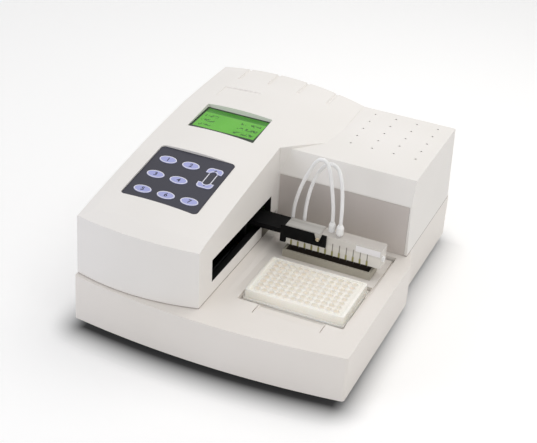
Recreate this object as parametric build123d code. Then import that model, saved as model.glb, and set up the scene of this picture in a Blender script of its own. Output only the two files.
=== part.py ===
from build123d import *
import math
import os

os.makedirs("parts", exist_ok=True)

# Working axes while modelling: X across the front with 0 at the middle, Y back from the
# front corners of the base, Z up from the bench. Every node is moved to the origin at the end.

# Lower housing
base_width = 346.3
base_depth = 413.0
base_top = 69.65
foot_height = 10.0
front_bow = 16.0
front_bow_low = 13.5
corner_round = 4.0
shell = 3.0
gap = 0.3
tower_inset = 11.0
inset_start = 221.0
inset_end = 250.0

# Upper moulding: console on the left, tower at the rear right
console_right = -13.7
console_front = 7.4
console_bow = 12.3
wall_draft = 0.028
reveal_height = 1.3
reveal_depth = 1.6
cover_rear = 409.0
panel_y = 235.1
panel_top = 140.4
band_back = 11.6
tower_top = 170.9
crease_x = 31.7
crease_y = 290.2
crown_radius = 466.0
crown_middle = -90.4
crown_front = 153.6
crown_half_way = 172.6
crown_knee = 186.9
crown_peak = 188.0
crown_back = 186.7
knee_y = 282.0
peak_y = 340.0
crown_tilt = 0.034
bevel_y = 20.5
bevel_width = 15.4
bevel_length = 177.0
bevel_angle = 7.0

# Slot in the console's right wall, and the notch at its rear
slot_front = 42.0
slot_rear = 213.5
slot_low = 87.0
slot_high = 116.6
notch_front = 186.5
notch_low = 70.5

# Bay for the plate
bay_left = -1.0
bay_bank = 6.5
bay_right = 152.2
bay_front = 31.5
bay_rear = 226.0
bay_drop = 4.6
bay_floor_thickness = 3.0
nest_front = 50.6
nest_rear = 152.0
nest_left = 15.2
nest_right = 147.5

# Microplate, standard 96-well footprint
plate_x = 80.6
plate_y = 104.6
plate_length = 127.76
plate_width = 85.48
plate_height = 14.35
plate_bottom = 61.65
well_pitch = 9.0
well_radius = 3.4
well_depth = 10.8
well_columns = 12
well_rows = 8

# Rinse trough
trough_left = 23.3
trough_right = 138.4
trough_front = 165.8
trough_rear = 193.0
trough_rim = 76.2
trough_bottom = 57.0
trough_wall = 1.5

# Wash head
manifold_left = 24.2
manifold_right = 147.5
manifold_front = 172.8
manifold_depth = 19.0
manifold_low = 81.8
manifold_high = 107.4
needle_reach = 5.1
needle_radius = 0.55
aspirate_radius = 0.45
bead_radius = 1.1
bead_height = 3.2
row_gap = 2.8
first_row = 177.4
cheek_left = 17.0
bracket_right = 76.6
bracket_front = 170.0
bracket_low = 91.5
leg_low = 84.2
arm_low = 92.9
arm_thickness = 6.3
arm_front = 174.0
arm_rear = 205.8
cover_plate_thickness = 1.2
cover_plate_right = 68.6
tube_radius = 2.3

# Carriage and lift inside the console
shaft_radius = 4.0
shaft_pitch = 44.0
shaft_z = 62.0
shaft_front = 44.0
shaft_rear = 236.0
carriage_x = -62.0
carriage_low = 50.0
carriage_high = 74.0
carriage_length = 46.0
lift_rod_radius = 3.0
lift_rod_pitch = 26.0
lift_top = 124.0
screw_radius = 3.0
pulley_radius = 8.0
belt_thickness = 1.2
belt_width = 6.0
running = 0.05

# Keys
key_column = 30.7
key_row = 33.2
key_long = 22.8
key_short = 14.2
key_clear = 0.2
key_shift = 0.9
key_rise = -2.7
sign_wide = 20.6
sign_deep = 10.6
sign_corner = 5.6
sign_slot = 8.6
sign_overlap = 3.4
keypad_width = 100.0
keypad_length = 111.0
keypad_round = 6.0
keypad_x = -96.2
keypad_y = 114.4
keypad_tilt = 7.2
keypad_drop = 3.4
overlay_thickness = 1.4
key_thickness = 1.5
key_proud = 0.5

# Display
lcd_x = -93.6
lcd_y = 252.6
lcd_width = 90.6
lcd_length = 61.0
lcd_tilt = 1.2
lcd_depth = 4.4
window_thickness = 1.5

# Rear fittings
rear_reach = 12.0
switch_inset = 49.15
inlet_inset = 89.15
service_z = 40.0
fan_x = 96.0
fan_z = 112.0
fan_radius = 28.0
barb_pitch = 24.0

# The box over everything but the hoses is centred on the origin in X and Y
centre_y = (base_depth + rear_reach - front_bow) / 2


def block(x0, x1, y0, y1, z0, z1):
    """A box between two corners."""
    size = Box(x1 - x0, y1 - y0, z1 - z0)
    return Pos((x0 + x1) / 2, (y0 + y1) / 2, (z0 + z1) / 2) * size


def rod(x, y, z, radius, length, axis="Z"):
    """A cylinder that starts at a point and runs along an axis."""
    turn = {"X": Rot(0, 90, 0), "Y": Rot(-90, 0, 0), "Z": Rot(0, 0, 0)}[axis]
    body = Cylinder(radius, length, align=(Align.CENTER, Align.CENTER, Align.MIN))
    return Pos(x, y, z) * turn * body


def tube(x, y, z, outer, inner, length, axis="Z"):
    """A cylinder with a hole right through it."""
    return rod(x, y, z, outer, length, axis) - rod(x, y, z, inner, length, axis)


def save(shape, name):
    """Move a node to the row frame and write it."""
    placed = Pos(0, -centre_y, 0) * shape
    placed.label = name
    export_step(placed, "parts/" + name + ".step")


def group(shapes, name):
    """Write several separate solids as one node."""
    solids = [solid for shape in shapes for solid in shape.solids()]
    save(Compound(solids), name)


# Outlines of the housings

base_half = base_width / 2
tower_right = base_half - tower_inset
switch_x = -base_half + switch_inset
inlet_x = -base_half + inlet_inset


def base_outline(inset, bow):
    """Plan of the lower housing, drawn in from its faces by inset."""
    side = base_half - inset
    front = inset
    rear = base_depth - inset
    right_rear = tower_right - inset
    with BuildSketch() as plan:
        with BuildLine():
            ThreePointArc((-side, front), (0, front - bow), (side, front))
            Line((side, front), (side, inset_start))
            Line((side, inset_start), (right_rear, inset_end))
            Line((right_rear, inset_end), (right_rear, rear))
            Line((right_rear, rear), (-side, rear))
            Line((-side, rear), (-side, front))
        make_face()
        front_corners = plan.vertices().group_by(Axis.Y)[0]
        fillet(front_corners, max(corner_round - inset, 0.8))
    return plan.sketch


def base_block(inset, low, high):
    """Lower housing between two heights; its front leans out towards the top."""
    lean = (front_bow - front_bow_low) / (base_top - foot_height)
    foot = Pos(0, 0, low) * base_outline(inset, front_bow - lean * (base_top - low))
    head = Pos(0, 0, high) * base_outline(inset, front_bow - lean * (base_top - high))
    return loft([foot.faces()[0], head.faces()[0]], ruled=True)


def console_outline(inset, z):
    """Plan of the console at height z."""
    left = -base_half + inset
    right = console_right - wall_draft * (z - base_top) - inset
    front = console_front + inset
    middle = (left + right) / 2
    with BuildSketch() as plan:
        with BuildLine():
            ThreePointArc((left, front), (middle, front - console_bow), (right, front))
            Line((right, front), (right, cover_rear - inset))
            Line((right, cover_rear - inset), (left, cover_rear - inset))
            Line((left, cover_rear - inset), (left, front))
        make_face()
    return Pos(0, 0, z) * plan.sketch


def console_block(inset, low, high):
    """Console walls between two heights, with draft on the right wall only."""
    foot = console_outline(inset, low)
    head = console_outline(inset, high)
    return loft([foot.faces()[0], head.faces()[0]], ruled=True)


def crown_height(x, spine_z, lean):
    """Height of the crowned top at x, from the height of its spine."""
    across = x - crown_middle
    return spine_z - across * across / (2 * crown_radius) - lean * across


def crown_section(x, drop):
    """Side section of the solid under the crowned top."""
    front = -40.0
    rear = cover_rear + 30
    low = 20.0
    half_way = 140.0
    slope = (crown_half_way - crown_front) / (half_way - console_front)
    front_z = crown_height(x, crown_front - slope * (console_front - front), crown_tilt) - drop
    middle_z = crown_height(x, crown_half_way, crown_tilt) - drop
    knee_z = crown_height(x, crown_knee, crown_tilt * 0.4) - drop
    peak_z = crown_height(x, crown_peak, crown_tilt * 0.2) - drop
    rear_z = crown_height(x, crown_back, 0) - drop
    with BuildSketch(Plane.YZ.offset(x)) as side:
        with BuildLine():
            ThreePointArc((front, front_z), (half_way, middle_z), (knee_y, knee_z))
            ThreePointArc((knee_y, knee_z), (peak_y, peak_z), (rear, rear_z))
            Line((rear, rear_z), (rear, low))
            Line((rear, low), (front, low))
            Line((front, low), (front, front_z))
        make_face()
    return side.sketch.faces()[0]


def crown_block(drop):
    """Solid under the crowned top, wider than the console on both sides."""
    stations = (-200, -145, crown_middle, -36, 8, 50)
    return loft([crown_section(x, drop) for x in stations])


def bevelled_crown(drop):
    """Crowned solid with the facets along its front and left edges."""
    crown = crown_block(drop)
    line_z = crown_height(crown_middle, crown_front + 1.6, 0) - drop
    front_line = Axis((0, bevel_y, line_z), (1, 0, 0))
    front_facet = crown.rotate(front_line, bevel_angle)
    start = Vector(-base_half + bevel_width, bevel_y, 153.0 - drop)
    finish = Vector(-base_half, bevel_length, 172.0 - drop)
    left_facet = crown.rotate(Axis(start, finish - start), -bevel_angle * 1.2)
    return crown & front_facet & left_facet


def tower_block(inset, drop):
    """Tower walls and flat top with the sloped band over the splash panel."""
    front = panel_y + inset
    top = tower_top - drop
    low = base_top
    lean = wall_draft
    right_low = tower_right - inset
    left = console_right - 10
    with BuildSketch(Plane.YZ.offset(left)) as side:
        with BuildLine():
            Polyline(
                (front, low),
                (front, panel_top),
                (front + band_back, tower_top - drop),
                (cover_rear - inset, top),
                (cover_rear - inset, low),
                close=True,
            )
        make_face()
    body = extrude(side.sketch, right_low + 10 - left)
    with BuildSketch(Plane.XZ) as end:
        with BuildLine():
            Polyline(
                (left - 1, low - 1),
                (right_low, low - 1),
                (right_low - lean * (top + 2 - low), top + 2),
                (left - 1, top + 2),
                close=True,
            )
        make_face()
    return body & extrude(end.sketch, -(cover_rear + 10))


def step_block(inset):
    """Plan of the raised part between the console and the tower, cut on the slant."""
    left = console_right - 20
    start_x = console_right - wall_draft * (panel_top - base_top) - inset
    with BuildSketch() as plan:
        with BuildLine():
            Polyline(
                (left, panel_y + inset),
                (start_x, panel_y + inset),
                (crease_x - inset, crease_y + inset),
                (crease_x - inset, cover_rear - inset),
                (left, cover_rear - inset),
                close=True,
            )
        make_face()
    return Pos(0, 0, panel_top) * extrude(plan.sketch, 60)


crown = bevelled_crown(0)


def surface_height(x, y):
    """Height of the finished top at one place."""
    probe = rod(x, y, base_top, 0.05, 150)
    return (crown & probe).bounding_box().max.Z


keypad_z = surface_height(keypad_x, keypad_y)
lcd_z = surface_height(lcd_x, lcd_y)


def tilted_plane(x, y, z, angle):
    """Plane through a point, tilted back about the X direction."""
    tilt = math.radians(angle)
    return Plane(origin=(x, y, z), x_dir=(1, 0, 0), z_dir=(0, -math.sin(tilt), math.cos(tilt)))


keypad_plane = tilted_plane(keypad_x, keypad_y, keypad_z - keypad_drop, keypad_tilt)
lcd_plane = tilted_plane(lcd_x, lcd_y, lcd_z - lcd_depth, lcd_tilt)


def panel_slab(plane, width, length, low, high, round_off):
    """A rounded slab on a tilted plane, between two offsets from it."""
    with BuildSketch(plane.offset(low)) as face:
        RectangleRounded(width, length, round_off)
    return extrude(face.sketch, high - low)


# Key places on the keypad's plane: seven ovals, then plus and minus
oval_places = [(-1, 1), (0, 1), (-1, 0), (0, 0), (-1, -1), (0, -1), (1, -1)]
key_places = [(c * key_column + key_shift, r * key_row + key_rise) for c, r in oval_places]
sign_x = key_column + key_shift + 1.8
sign_places = [(sign_x, key_row - 1.8), (sign_x, 0.4)]


def key_slab(plane, place, grow, low, high):
    """An oval key, or its hole when grown."""
    with BuildSketch(plane.offset(low)) as face:
        with Locations(place):
            Ellipse(key_long / 2 + grow, key_short / 2 + grow)
    return extrude(face.sketch, high - low)


def sign_slab(plane, place, way, grow, low, high):
    """A rounded key whose flat edge has a notch; way is the side that is rounded."""
    flat = -way * sign_deep / 2
    with BuildSketch(plane.offset(low)) as face:
        with Locations((place[0], place[1] + flat)):
            RectangleRounded(sign_wide + 2 * grow, 2 * (sign_deep + grow), sign_corner + grow)
        with Locations((place[0], place[1] + flat - way * (sign_deep + grow))):
            Rectangle(sign_wide + 4, 2 * sign_deep, mode=Mode.SUBTRACT)
        with Locations((place[0], place[1] + flat + way * (sign_overlap - sign_slot / 2))):
            Circle(sign_slot / 2 - grow, mode=Mode.SUBTRACT)
    return extrude(face.sketch, high - low)


# Lower housing with the bay


def bay_floor_cut():
    """Wedge that sinks the bay: flush at the front, lowest at the rear."""
    deep = base_top - bay_drop
    with BuildSketch(Plane.YZ.offset(bay_left + bay_bank)) as side:
        with BuildLine():
            Polyline(
                (bay_front, base_top),
                (bay_rear, deep),
                (bay_rear, base_top + 1),
                (bay_front, base_top + 1),
                close=True,
            )
        make_face()
    wedge = extrude(side.sketch, bay_right - bay_left - bay_bank)
    with BuildSketch(Plane.XZ.offset(-bay_rear)) as rear:
        with BuildLine():
            Polyline(
                (bay_left, base_top),
                (bay_left + bay_bank, deep),
                (bay_left + bay_bank, base_top + 1),
                (bay_left, base_top + 1),
                close=True,
            )
        make_face()
    with BuildSketch(Plane.XZ.offset(-bay_front)) as front:
        with BuildLine():
            Polyline(
                (bay_left, base_top),
                (bay_left + bay_bank, base_top - 0.02),
                (bay_left + bay_bank, base_top + 1),
                (bay_left, base_top + 1),
                close=True,
            )
        make_face()
    bank = loft([front.sketch.faces()[0], rear.sketch.faces()[0]], ruled=True)
    return wedge + bank


def bay_height(y):
    """Height of the bay's sloping floor at y."""
    return base_top - bay_drop * (y - bay_front) / (bay_rear - bay_front)


bay_under = base_top - bay_drop - bay_floor_thickness
notch_xs = (42.8, 126.5)
rim_slit = 2.0
slit_left = 110.0

base = base_block(0, foot_height, base_top)
base -= base_block(shell, foot_height - 1, base_top - shell)
base += block(
    bay_left - shell,
    bay_right + shell,
    bay_front - shell,
    bay_rear + shell,
    bay_under,
    base_top - 1,
)
base -= bay_floor_cut()
base -= block(nest_left, nest_right, nest_front, nest_rear, bay_under - 1, base_top + 1)
trough_hole = block(
    trough_left + trough_wall - gap,
    trough_right - trough_wall + gap,
    trough_front + trough_wall - gap,
    trough_rear - trough_wall + gap,
    bay_under - 1,
    base_top + 1,
)
base -= trough_hole
for x in notch_xs:
    base -= block(x - 0.7, x + 0.7, bay_front, nest_front + 1, base_top - 2.4, base_top + 1)
groove_width = 4.0
groove_drop = 1.8
groove_tilt = bay_drop + groove_drop
with BuildSketch(Plane.YZ.offset(bay_right - groove_width)) as groove_side:
    with BuildLine():
        Polyline(
            (bay_front, base_top),
            (bay_rear, base_top - groove_tilt),
            (bay_rear, base_top + 1),
            (bay_front, base_top + 1),
            close=True,
        )
    make_face()
base -= extrude(groove_side.sketch, groove_width)
base -= block(slit_left, bay_right, bay_rear - rim_slit, bay_rear, bay_under - 1, base_top + 1)
scoop_radius = 175.0
scoop_reach = 15.0
scoop_angle = 11.0
scoop_front = nest_front - scoop_reach
scoop = rod(plate_x + 4, scoop_front + scoop_radius, base_top - 3.2, scoop_radius, 6)
scoop &= block(notch_xs[0] + 2, notch_xs[1] - 2, scoop_front - 1, nest_front + 1, 60, 75)
scoop_tilt = Pos(0, scoop_front, base_top) * Rot(-scoop_angle, 0, 0) * Pos(0, -scoop_front, -base_top)
scoop_slab = block(0, 200, scoop_front, nest_front + 6, base_top, base_top + 8)
base -= (scoop_tilt * scoop_slab) & scoop
console_well = block(
    -base_half + 3 * shell,
    console_right - 3 * shell,
    console_front + 2 * shell,
    cover_rear - 4 * shell,
    base_top - shell - 1,
    base_top + 1,
)
tower_well = block(
    console_right - 3 * shell - 1,
    tower_right - 3 * shell,
    panel_y + 3 * shell,
    cover_rear - 4 * shell,
    base_top - shell - 1,
    base_top + 1,
)
base -= console_well
base -= tower_well
louvre_width = 3.0
louvre_pitch = 11.0
louvre_start = 120.0
louvre_low = 26.0
louvre_high = 52.0
for i in range(9):
    y = louvre_start + i * louvre_pitch
    base -= block(-base_half - 1, -base_half + shell + 1, y, y + louvre_width, louvre_low, louvre_high)
inlet_wide = 27.6
inlet_high = 20.0
bezel_wide = 19.4
bezel_high = 12.9
rear_face = base_depth


def service_hole(x, wide, high, depth, clear=0.0):
    """Box through the rear wall, centred on the row of fittings."""
    half_x = wide / 2 - clear
    half_z = high / 2 - clear
    return block(x - half_x, x + half_x, rear_face - depth, rear_face, service_z - half_z, service_z + half_z)


base -= service_hole(inlet_x, inlet_wide, inlet_high, 2 * shell)
base -= service_hole(switch_x, bezel_wide, bezel_high, 2 * shell)
barb_xs = [30 + barb_pitch * i for i in range(4)]
barb_hole = 4.0
for x in barb_xs:
    base -= rod(x, rear_face - shell - 1, service_z, barb_hole, shell + 2, "Y")
port_x = -30.0
port_wide = 31.0
port_high = 12.6
base -= service_hole(port_x, port_wide, port_high, 2 * shell)
save(base, "base_housing")

# Steel bottom plate inside the housing's rim, and the feet under it
plate_lift = 1.5
sheet = 1.5
bottom_low = foot_height + plate_lift
foot_side = 23.15
bottom = base_block(shell + gap, bottom_low, bottom_low + sheet)
foot_left = -base_half + foot_side
foot_places = [
    (foot_left, foot_side + 4.85),
    (-foot_left, foot_side + 4.85),
    (foot_left, base_depth - 28),
    (tower_right - foot_side - 1, base_depth - 28),
]
foot_bolt = 2.5
for x, y in foot_places:
    bottom -= rod(x, y, bottom_low - 1, foot_bolt, 4)
vent_xs = [-40 + 12 * i for i in range(12)]
for x in vent_xs:
    bottom -= block(x, x + 4, 270, 330, bottom_low - 1, bottom_low + sheet + 1)
save(bottom, "bottom_plate")

foot_top = 9.0
feet = []
for x, y in foot_places:
    cone = Cone(foot_top, foot_top + 1.5, bottom_low, align=(Align.CENTER, Align.CENTER, Align.MIN))
    cone = Pos(x, y, 0) * cone
    cone = fillet(cone.edges().group_by(Axis.Z)[0], 1.2)
    cone += rod(x, y, bottom_low, foot_bolt - 0.05, sheet + 3)
    feet.append(cone)
group(feet, "rubber_feet")

# Upper cover: one crowned moulding over console and tower
cavity_crown = crown_block(shell)
outer = console_block(0, base_top, 200) & crown
outer += step_block(0) & crown
outer += tower_block(0, 0)
inner = console_block(shell, base_top - 1, 200) & cavity_crown
inner += step_block(shell) & cavity_crown
inner += tower_block(shell, shell)
inner -= block(console_right - 3 * shell, 400, -100, panel_y + shell - 0.01, 0, 300)
boss_wall = 4.0
key_boss = panel_slab(
    keypad_plane,
    keypad_width + 2 * boss_wall,
    keypad_length + 2 * boss_wall,
    -overlay_thickness - 3.6,
    6,
    keypad_round + 2,
)
lcd_boss = panel_slab(lcd_plane, lcd_width + 2 * boss_wall, lcd_length + 2 * boss_wall, -4.0, 12, 3)
cover = outer - inner
cover += (key_boss + lcd_boss) & outer
key_pocket = panel_slab(keypad_plane, keypad_width, keypad_length, -overlay_thickness - 1.0, 30, keypad_round)
key_window = panel_slab(
    keypad_plane,
    keypad_width - 2 * boss_wall,
    keypad_length - 2 * boss_wall,
    -12,
    1,
    boss_wall,
)
cover -= key_pocket
cover -= key_window
cover -= panel_slab(lcd_plane, lcd_width, lcd_length, -12, 30, 1.5)
slot_cut = block(console_right - 3 * shell, 0, slot_front, slot_rear, slot_low, slot_high)
notch_cut = block(console_right - 3 * shell, 0, notch_front, panel_y - shell, notch_low, slot_low + 1)
cover -= slot_cut
cover -= notch_cut

# Shadow line along the console's foot at the front
reveal_top = base_top + reveal_height
reveal = console_block(-1, base_top - 1, reveal_top) - console_block(reveal_depth, base_top - 1, reveal_top)
cover -= reveal & block(-base_half - 2, console_right + 2, -40, console_front + reveal_depth - 0.3, 0, 200)

# Grooves at the rear of the crown
groove_xs = (-134.6, -92.2, -49.3, -7.3)
for x in groove_xs:
    z = crown_height(x, crown_back, 0)
    cover -= rod(x, cover_rear - 38, z + 1.3, 2.6, 45, "Y")

# Recess for a bare name strip
strip_plane = Plane(origin=(-115.4, 326, surface_height(-115.4, 326) - 1.3), z_dir=(-0.05, 0, 1))
cover -= panel_slab(strip_plane, 52.2, 29.4, 0, 12, 2)

# Breather holes in the tower's top
breather_radius = 1.5
for i in range(4):
    for j in range(5):
        cover -= rod(53.2 + 28.8 * i, 300.5 + 23.5 * j, tower_top - shell - 1, breather_radius, shell + 2)

# Fan opening and side louvres at the rear
fan_thick = 15.0
fan_y = cover_rear - shell - fan_thick - gap
grille_pitch = 8.0
grille_gap = 4.4
for k in range(-3, 4):
    z = fan_z + k * grille_pitch
    half = math.sqrt(fan_radius ** 2 - (k * grille_pitch) ** 2) - 1.0
    low = z - grille_gap / 2
    cover -= block(fan_x - half, fan_x + half, cover_rear - shell - 1, cover_rear + 1, low, low + grille_gap)

# Seat for the splash panel
splash_thickness = 1.5
splash_left = console_right + gap
splash_right = tower_right - 4.0
splash_top = panel_top - 1.5
cover -= block(
    splash_left - gap,
    splash_right + gap,
    panel_y - 1,
    panel_y + splash_thickness,
    base_top - 1,
    splash_top,
)
save(cover, "upper_cover")

splash = block(
    splash_left,
    splash_right,
    panel_y,
    panel_y + splash_thickness,
    base_top + gap,
    splash_top - gap,
)
save(splash, "splash_panel")

# Keypad: overlay with holes, keys and contact board
overlay_width = keypad_width - 2 * gap
overlay_length = keypad_length - 2 * gap
board_top = -overlay_thickness - 1.0
overlay = panel_slab(keypad_plane, overlay_width, overlay_length, board_top, 0, keypad_round - gap)
for place in key_places:
    overlay -= key_slab(keypad_plane, place, key_clear, board_top - 1, 2)
for place, way in zip(sign_places, (1, -1)):
    overlay -= sign_slab(keypad_plane, place, way, key_clear, board_top - 1, 2)
save(overlay, "keypad_overlay")
key_low = key_proud - key_thickness
for i, place in enumerate(key_places):
    key = key_slab(keypad_plane, place, 0, key_low, key_proud)
    key = fillet(key.edges().sort_by(Axis.Z)[-1], 0.3)
    save(key, "key_%d" % (i + 1))
for name, place, way in zip(("key_plus", "key_minus"), sign_places, (1, -1)):
    save(sign_slab(keypad_plane, place, way, 0, key_low, key_proud), name)
board_inset = 9.0
contacts = panel_slab(
    keypad_plane,
    keypad_width - board_inset,
    keypad_length - board_inset,
    board_top - 1.6,
    board_top,
    3.4,
)
save(contacts, "keypad_board")

# Display: clear window over the module
window = panel_slab(lcd_plane, lcd_width - 2 * gap, lcd_length - 2 * gap, -window_thickness, 0, 1.2)
save(window, "display_window")
module = panel_slab(lcd_plane, lcd_width - 2 * gap, lcd_length - 2 * gap, -4.0, -window_thickness, 1.2)
module += panel_slab(lcd_plane, lcd_width + 4, lcd_length + 4, -10.0, -4.0, 1.2)
save(module, "lcd_module")

# Shafts, their end blocks and the carriage
shaft_xs = (carriage_x - shaft_pitch / 2, carriage_x + shaft_pitch / 2)
shafts = [rod(x, shaft_front, shaft_z, shaft_radius, shaft_rear - shaft_front, "Y") for x in shaft_xs]
group(shafts, "guide_shafts")
bed_low = bottom_low + sheet
bed_top = bed_low + 4
bed = block(carriage_x - 40, carriage_x + 40, shaft_front - 24, shaft_rear + 22, bed_low, bed_top)
for y in (shaft_front + 6, shaft_rear - 14):
    bed += block(carriage_x - 36, carriage_x + 36, y, y + 8, bed_top - 1, shaft_z + 9)
    bed -= block(carriage_x - 12, carriage_x + 12, y - 1, y + 9, shaft_z - 34, shaft_z + 10)
for x in shaft_xs:
    bed -= rod(x, shaft_front - 1, shaft_z, shaft_radius, shaft_rear - shaft_front + 2, "Y")
save(bed, "mechanism_bed")

# Black plate that closes the view through the slot, standing on the bed
liner_x = carriage_x - 38.5
liner = block(liner_x, liner_x + 1.5, slot_front - 12, panel_y - 14, bed_top, slot_high + 26)
save(liner, "slot_backplate")

arm_mid = (arm_front + arm_rear) / 2
carriage_front = arm_mid - carriage_length / 2
carriage = block(
    carriage_x - 34,
    carriage_x + 34,
    carriage_front,
    carriage_front + carriage_length,
    carriage_low,
    carriage_high,
)
for x in shaft_xs:
    carriage -= rod(x, carriage_front - 1, shaft_z, shaft_radius + running + 2.5, carriage_length + 2, "Y")
carriage -= block(carriage_x - 11.5, carriage_x + 11.5, carriage_front - 1, carriage_front + carriage_length + 1, 40, carriage_low + 13)
for s in (-1, 1):
    carriage += block(carriage_x + s * 30 - 3, carriage_x + s * 30 + 3, carriage_front, carriage_front + carriage_length, carriage_high - 1, lift_top)
carriage -= block(carriage_x + 26, carriage_x + 34, arm_front - 2 * gap, arm_rear + 2 * gap, carriage_high, lift_top)
carriage += block(carriage_x - 33, carriage_x + 33, carriage_front, carriage_front + carriage_length, lift_top, lift_top + 5)
rod_ys = (arm_mid - lift_rod_pitch / 2, arm_mid + lift_rod_pitch / 2)
rod_low = carriage_high - 6
for y in rod_ys:
    carriage -= rod(carriage_x, y, rod_low, lift_rod_radius, lift_top + 10 - rod_low)
carriage -= rod(carriage_x, arm_mid, carriage_high - 8, screw_radius + running, 9)
carriage -= rod(carriage_x, arm_mid, lift_top - 1, screw_radius + 1, 8)
save(carriage, "carriage")
bush_length = 14.0
bushes = []
for x in shaft_xs:
    for y in (carriage_front, carriage_front + carriage_length - bush_length):
        bushes.append(tube(x, y, shaft_z, shaft_radius + running + 2.5, shaft_radius + running, bush_length, "Y"))
group(bushes, "carriage_bushes")
lift_rods = [rod(carriage_x, y, rod_low, lift_rod_radius, lift_top + 5 - rod_low) for y in rod_ys]
group(lift_rods, "lift_rods")

# Lift motor above the carriage, and the lead screw that it turns
motor_size = 28.0
motor = block(
    carriage_x - motor_size / 2,
    carriage_x + motor_size / 2,
    arm_mid - motor_size / 2,
    arm_mid + motor_size / 2,
    lift_top + 5,
    lift_top + 5 + 13,
)
motor -= rod(carriage_x, arm_mid, lift_top + 4, screw_radius + 1, 8)
motor = fillet(motor.edges().filter_by(Axis.Z), 3)
save(motor, "lift_motor")
screw_low = carriage_high - 7.5
screw = rod(carriage_x, arm_mid, screw_low, screw_radius, lift_top + 11 - screw_low)
save(screw, "lead_screw")

# Slide block on the lift rods, with the arm through the slot
slide = block(
    carriage_x - 20,
    carriage_x + 20,
    carriage_front + 3,
    carriage_front + carriage_length - 3,
    arm_low - 12,
    arm_low,
)
for y in rod_ys:
    slide -= rod(carriage_x, y, arm_low - 13, lift_rod_radius + running, 14)
slide -= rod(carriage_x, arm_mid, arm_low - 13, screw_radius + running, 14)
save(slide, "lift_block")
arm = block(carriage_x - 20, cheek_left, arm_front, arm_rear, arm_low, arm_low + arm_thickness)
for y in rod_ys:
    arm -= rod(carriage_x, y, arm_low - 1, lift_rod_radius + 0.6, arm_thickness + 2)
arm -= rod(carriage_x, arm_mid, arm_low - 1, screw_radius + 0.6, arm_thickness + 2)
save(arm, "wash_arm")

# Head bracket: cheek, front plate with a leg, and a shelf behind the manifold
cheek_thick = manifold_left - gap - cheek_left
bracket_top = manifold_high
shelf_rear = 200.0
shelf_right = 48.0
manifold_rear = manifold_front + manifold_depth
cheek_right = cheek_left + cheek_thick
arm_high = arm_low + arm_thickness
ear_depth = 1.2
ear_x = 66.0
ear_low = 97.5
ear_screw_z = 100.6
ear_wide = 9.0
ear_narrow = 4.6
bracket = block(cheek_left, cheek_right, bracket_front, manifold_rear, arm_low, bracket_top)
bracket += block(cheek_left, cheek_right, bracket_front, arm_rear, arm_low, arm_high)
bracket += block(cheek_left, bracket_right, bracket_front, manifold_front, bracket_low, bracket_top)
bracket += block(cheek_left, cheek_right, bracket_front, bracket_front + 7, leg_low, bracket_low + 1)
bracket += block(cheek_left + 1, shelf_right, manifold_rear, shelf_rear, arm_low, arm_high)
bracket -= block(ear_x - 6, ear_x + 6, bracket_front - 1, bracket_front + ear_depth, ear_low, bracket_top + 1)
save(bracket, "head_bracket")

plate_low = manifold_high
cover_plate = block(
    cheek_left + 6,
    cover_plate_right,
    bracket_front + 1,
    manifold_rear - 0.6,
    plate_low,
    plate_low + cover_plate_thickness,
)
plate_high = plate_low + cover_plate_thickness
with BuildSketch(Plane.XZ.offset(-bracket_front - ear_depth)) as ear_face:
    with BuildLine():
        Polyline(
            (ear_x - ear_wide / 2, plate_high),
            (ear_x - ear_wide / 2, plate_low - 0.4),
            (ear_x - ear_narrow / 2, ear_screw_z),
            (ear_x + ear_narrow / 2, ear_screw_z),
            (ear_x + ear_wide / 2, plate_low - 0.4),
            (ear_x + ear_wide / 2, plate_high),
            close=True,
        )
    make_face()
    with Locations((ear_x, ear_screw_z)):
        Circle(ear_narrow / 2)
ear = extrude(ear_face.sketch, ear_depth)
ear_hole = 1.4
ear -= rod(ear_x, bracket_front - 1, ear_screw_z, ear_hole, 3, "Y")
cover_plate += block(
    ear_x - ear_wide / 2,
    cover_plate_right,
    bracket_front,
    bracket_front + ear_depth,
    plate_low,
    plate_high,
)
cover_plate += ear
save(cover_plate, "tube_cover")
screw_head = rod(ear_x, bracket_front - 1.5, ear_screw_z, 2.3, 1.5, "Y")
screw_head = fillet(screw_head.edges().sort_by(Axis.Y)[0], 0.5)
screw_head -= block(ear_x - 3, ear_x + 3, bracket_front - 2, bracket_front - 0.9, ear_screw_z - 0.3, ear_screw_z + 0.3)
screw_head += rod(ear_x, bracket_front, ear_screw_z, ear_hole, ear_depth, "Y")
save(screw_head, "cover_screw")

# Manifold with its bores, needles and end plugs
first_column = plate_x - well_pitch * (well_columns - 1) / 2
column_xs = [first_column + well_pitch * i for i in range(well_columns)]
second_row = first_row + row_gap
fitting_places = [(77.4, 186.6), (89.6, 181.6)]
fitting_bore = 2.2
manifold = block(manifold_left, manifold_right, manifold_front, manifold_rear, manifold_low, manifold_high)
for x in column_xs:
    for y in (first_row, second_row):
        manifold -= rod(x, y, manifold_low - 1, bead_radius, bead_height + 8)
bore_depth = 8.0
for x, y in fitting_places:
    manifold -= rod(x, y, manifold_high - bore_depth, fitting_bore, bore_depth + 2)
plug_radius = 3.2
gallery_z = 93.6
gallery_y = (first_row + second_row) / 2
manifold -= rod(manifold_right - 6, gallery_y, gallery_z, plug_radius, 8, "X")
save(manifold, "manifold")
plug = rod(manifold_right - 6, gallery_y, gallery_z, plug_radius, 6, "X")
plug += rod(manifold_right, gallery_y, gallery_z, plug_radius + 0.6, 2.4, "X")
save(plug, "manifold_plug")

tip_z = manifold_low - needle_reach


def needle_row(y, radius, name):
    """One row of needles, each with its bead of glue in the manifold's bore."""
    row = []
    for x in column_xs:
        needle = rod(x, y, tip_z, radius, needle_reach + bead_height + 3)
        needle += rod(x, y, manifold_low, bead_radius, bead_height)
        row.append(needle)
    group(row, name)


needle_row(first_row, needle_radius, "dispense_needles")
needle_row(second_row, aspirate_radius, "aspirate_needles")

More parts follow.
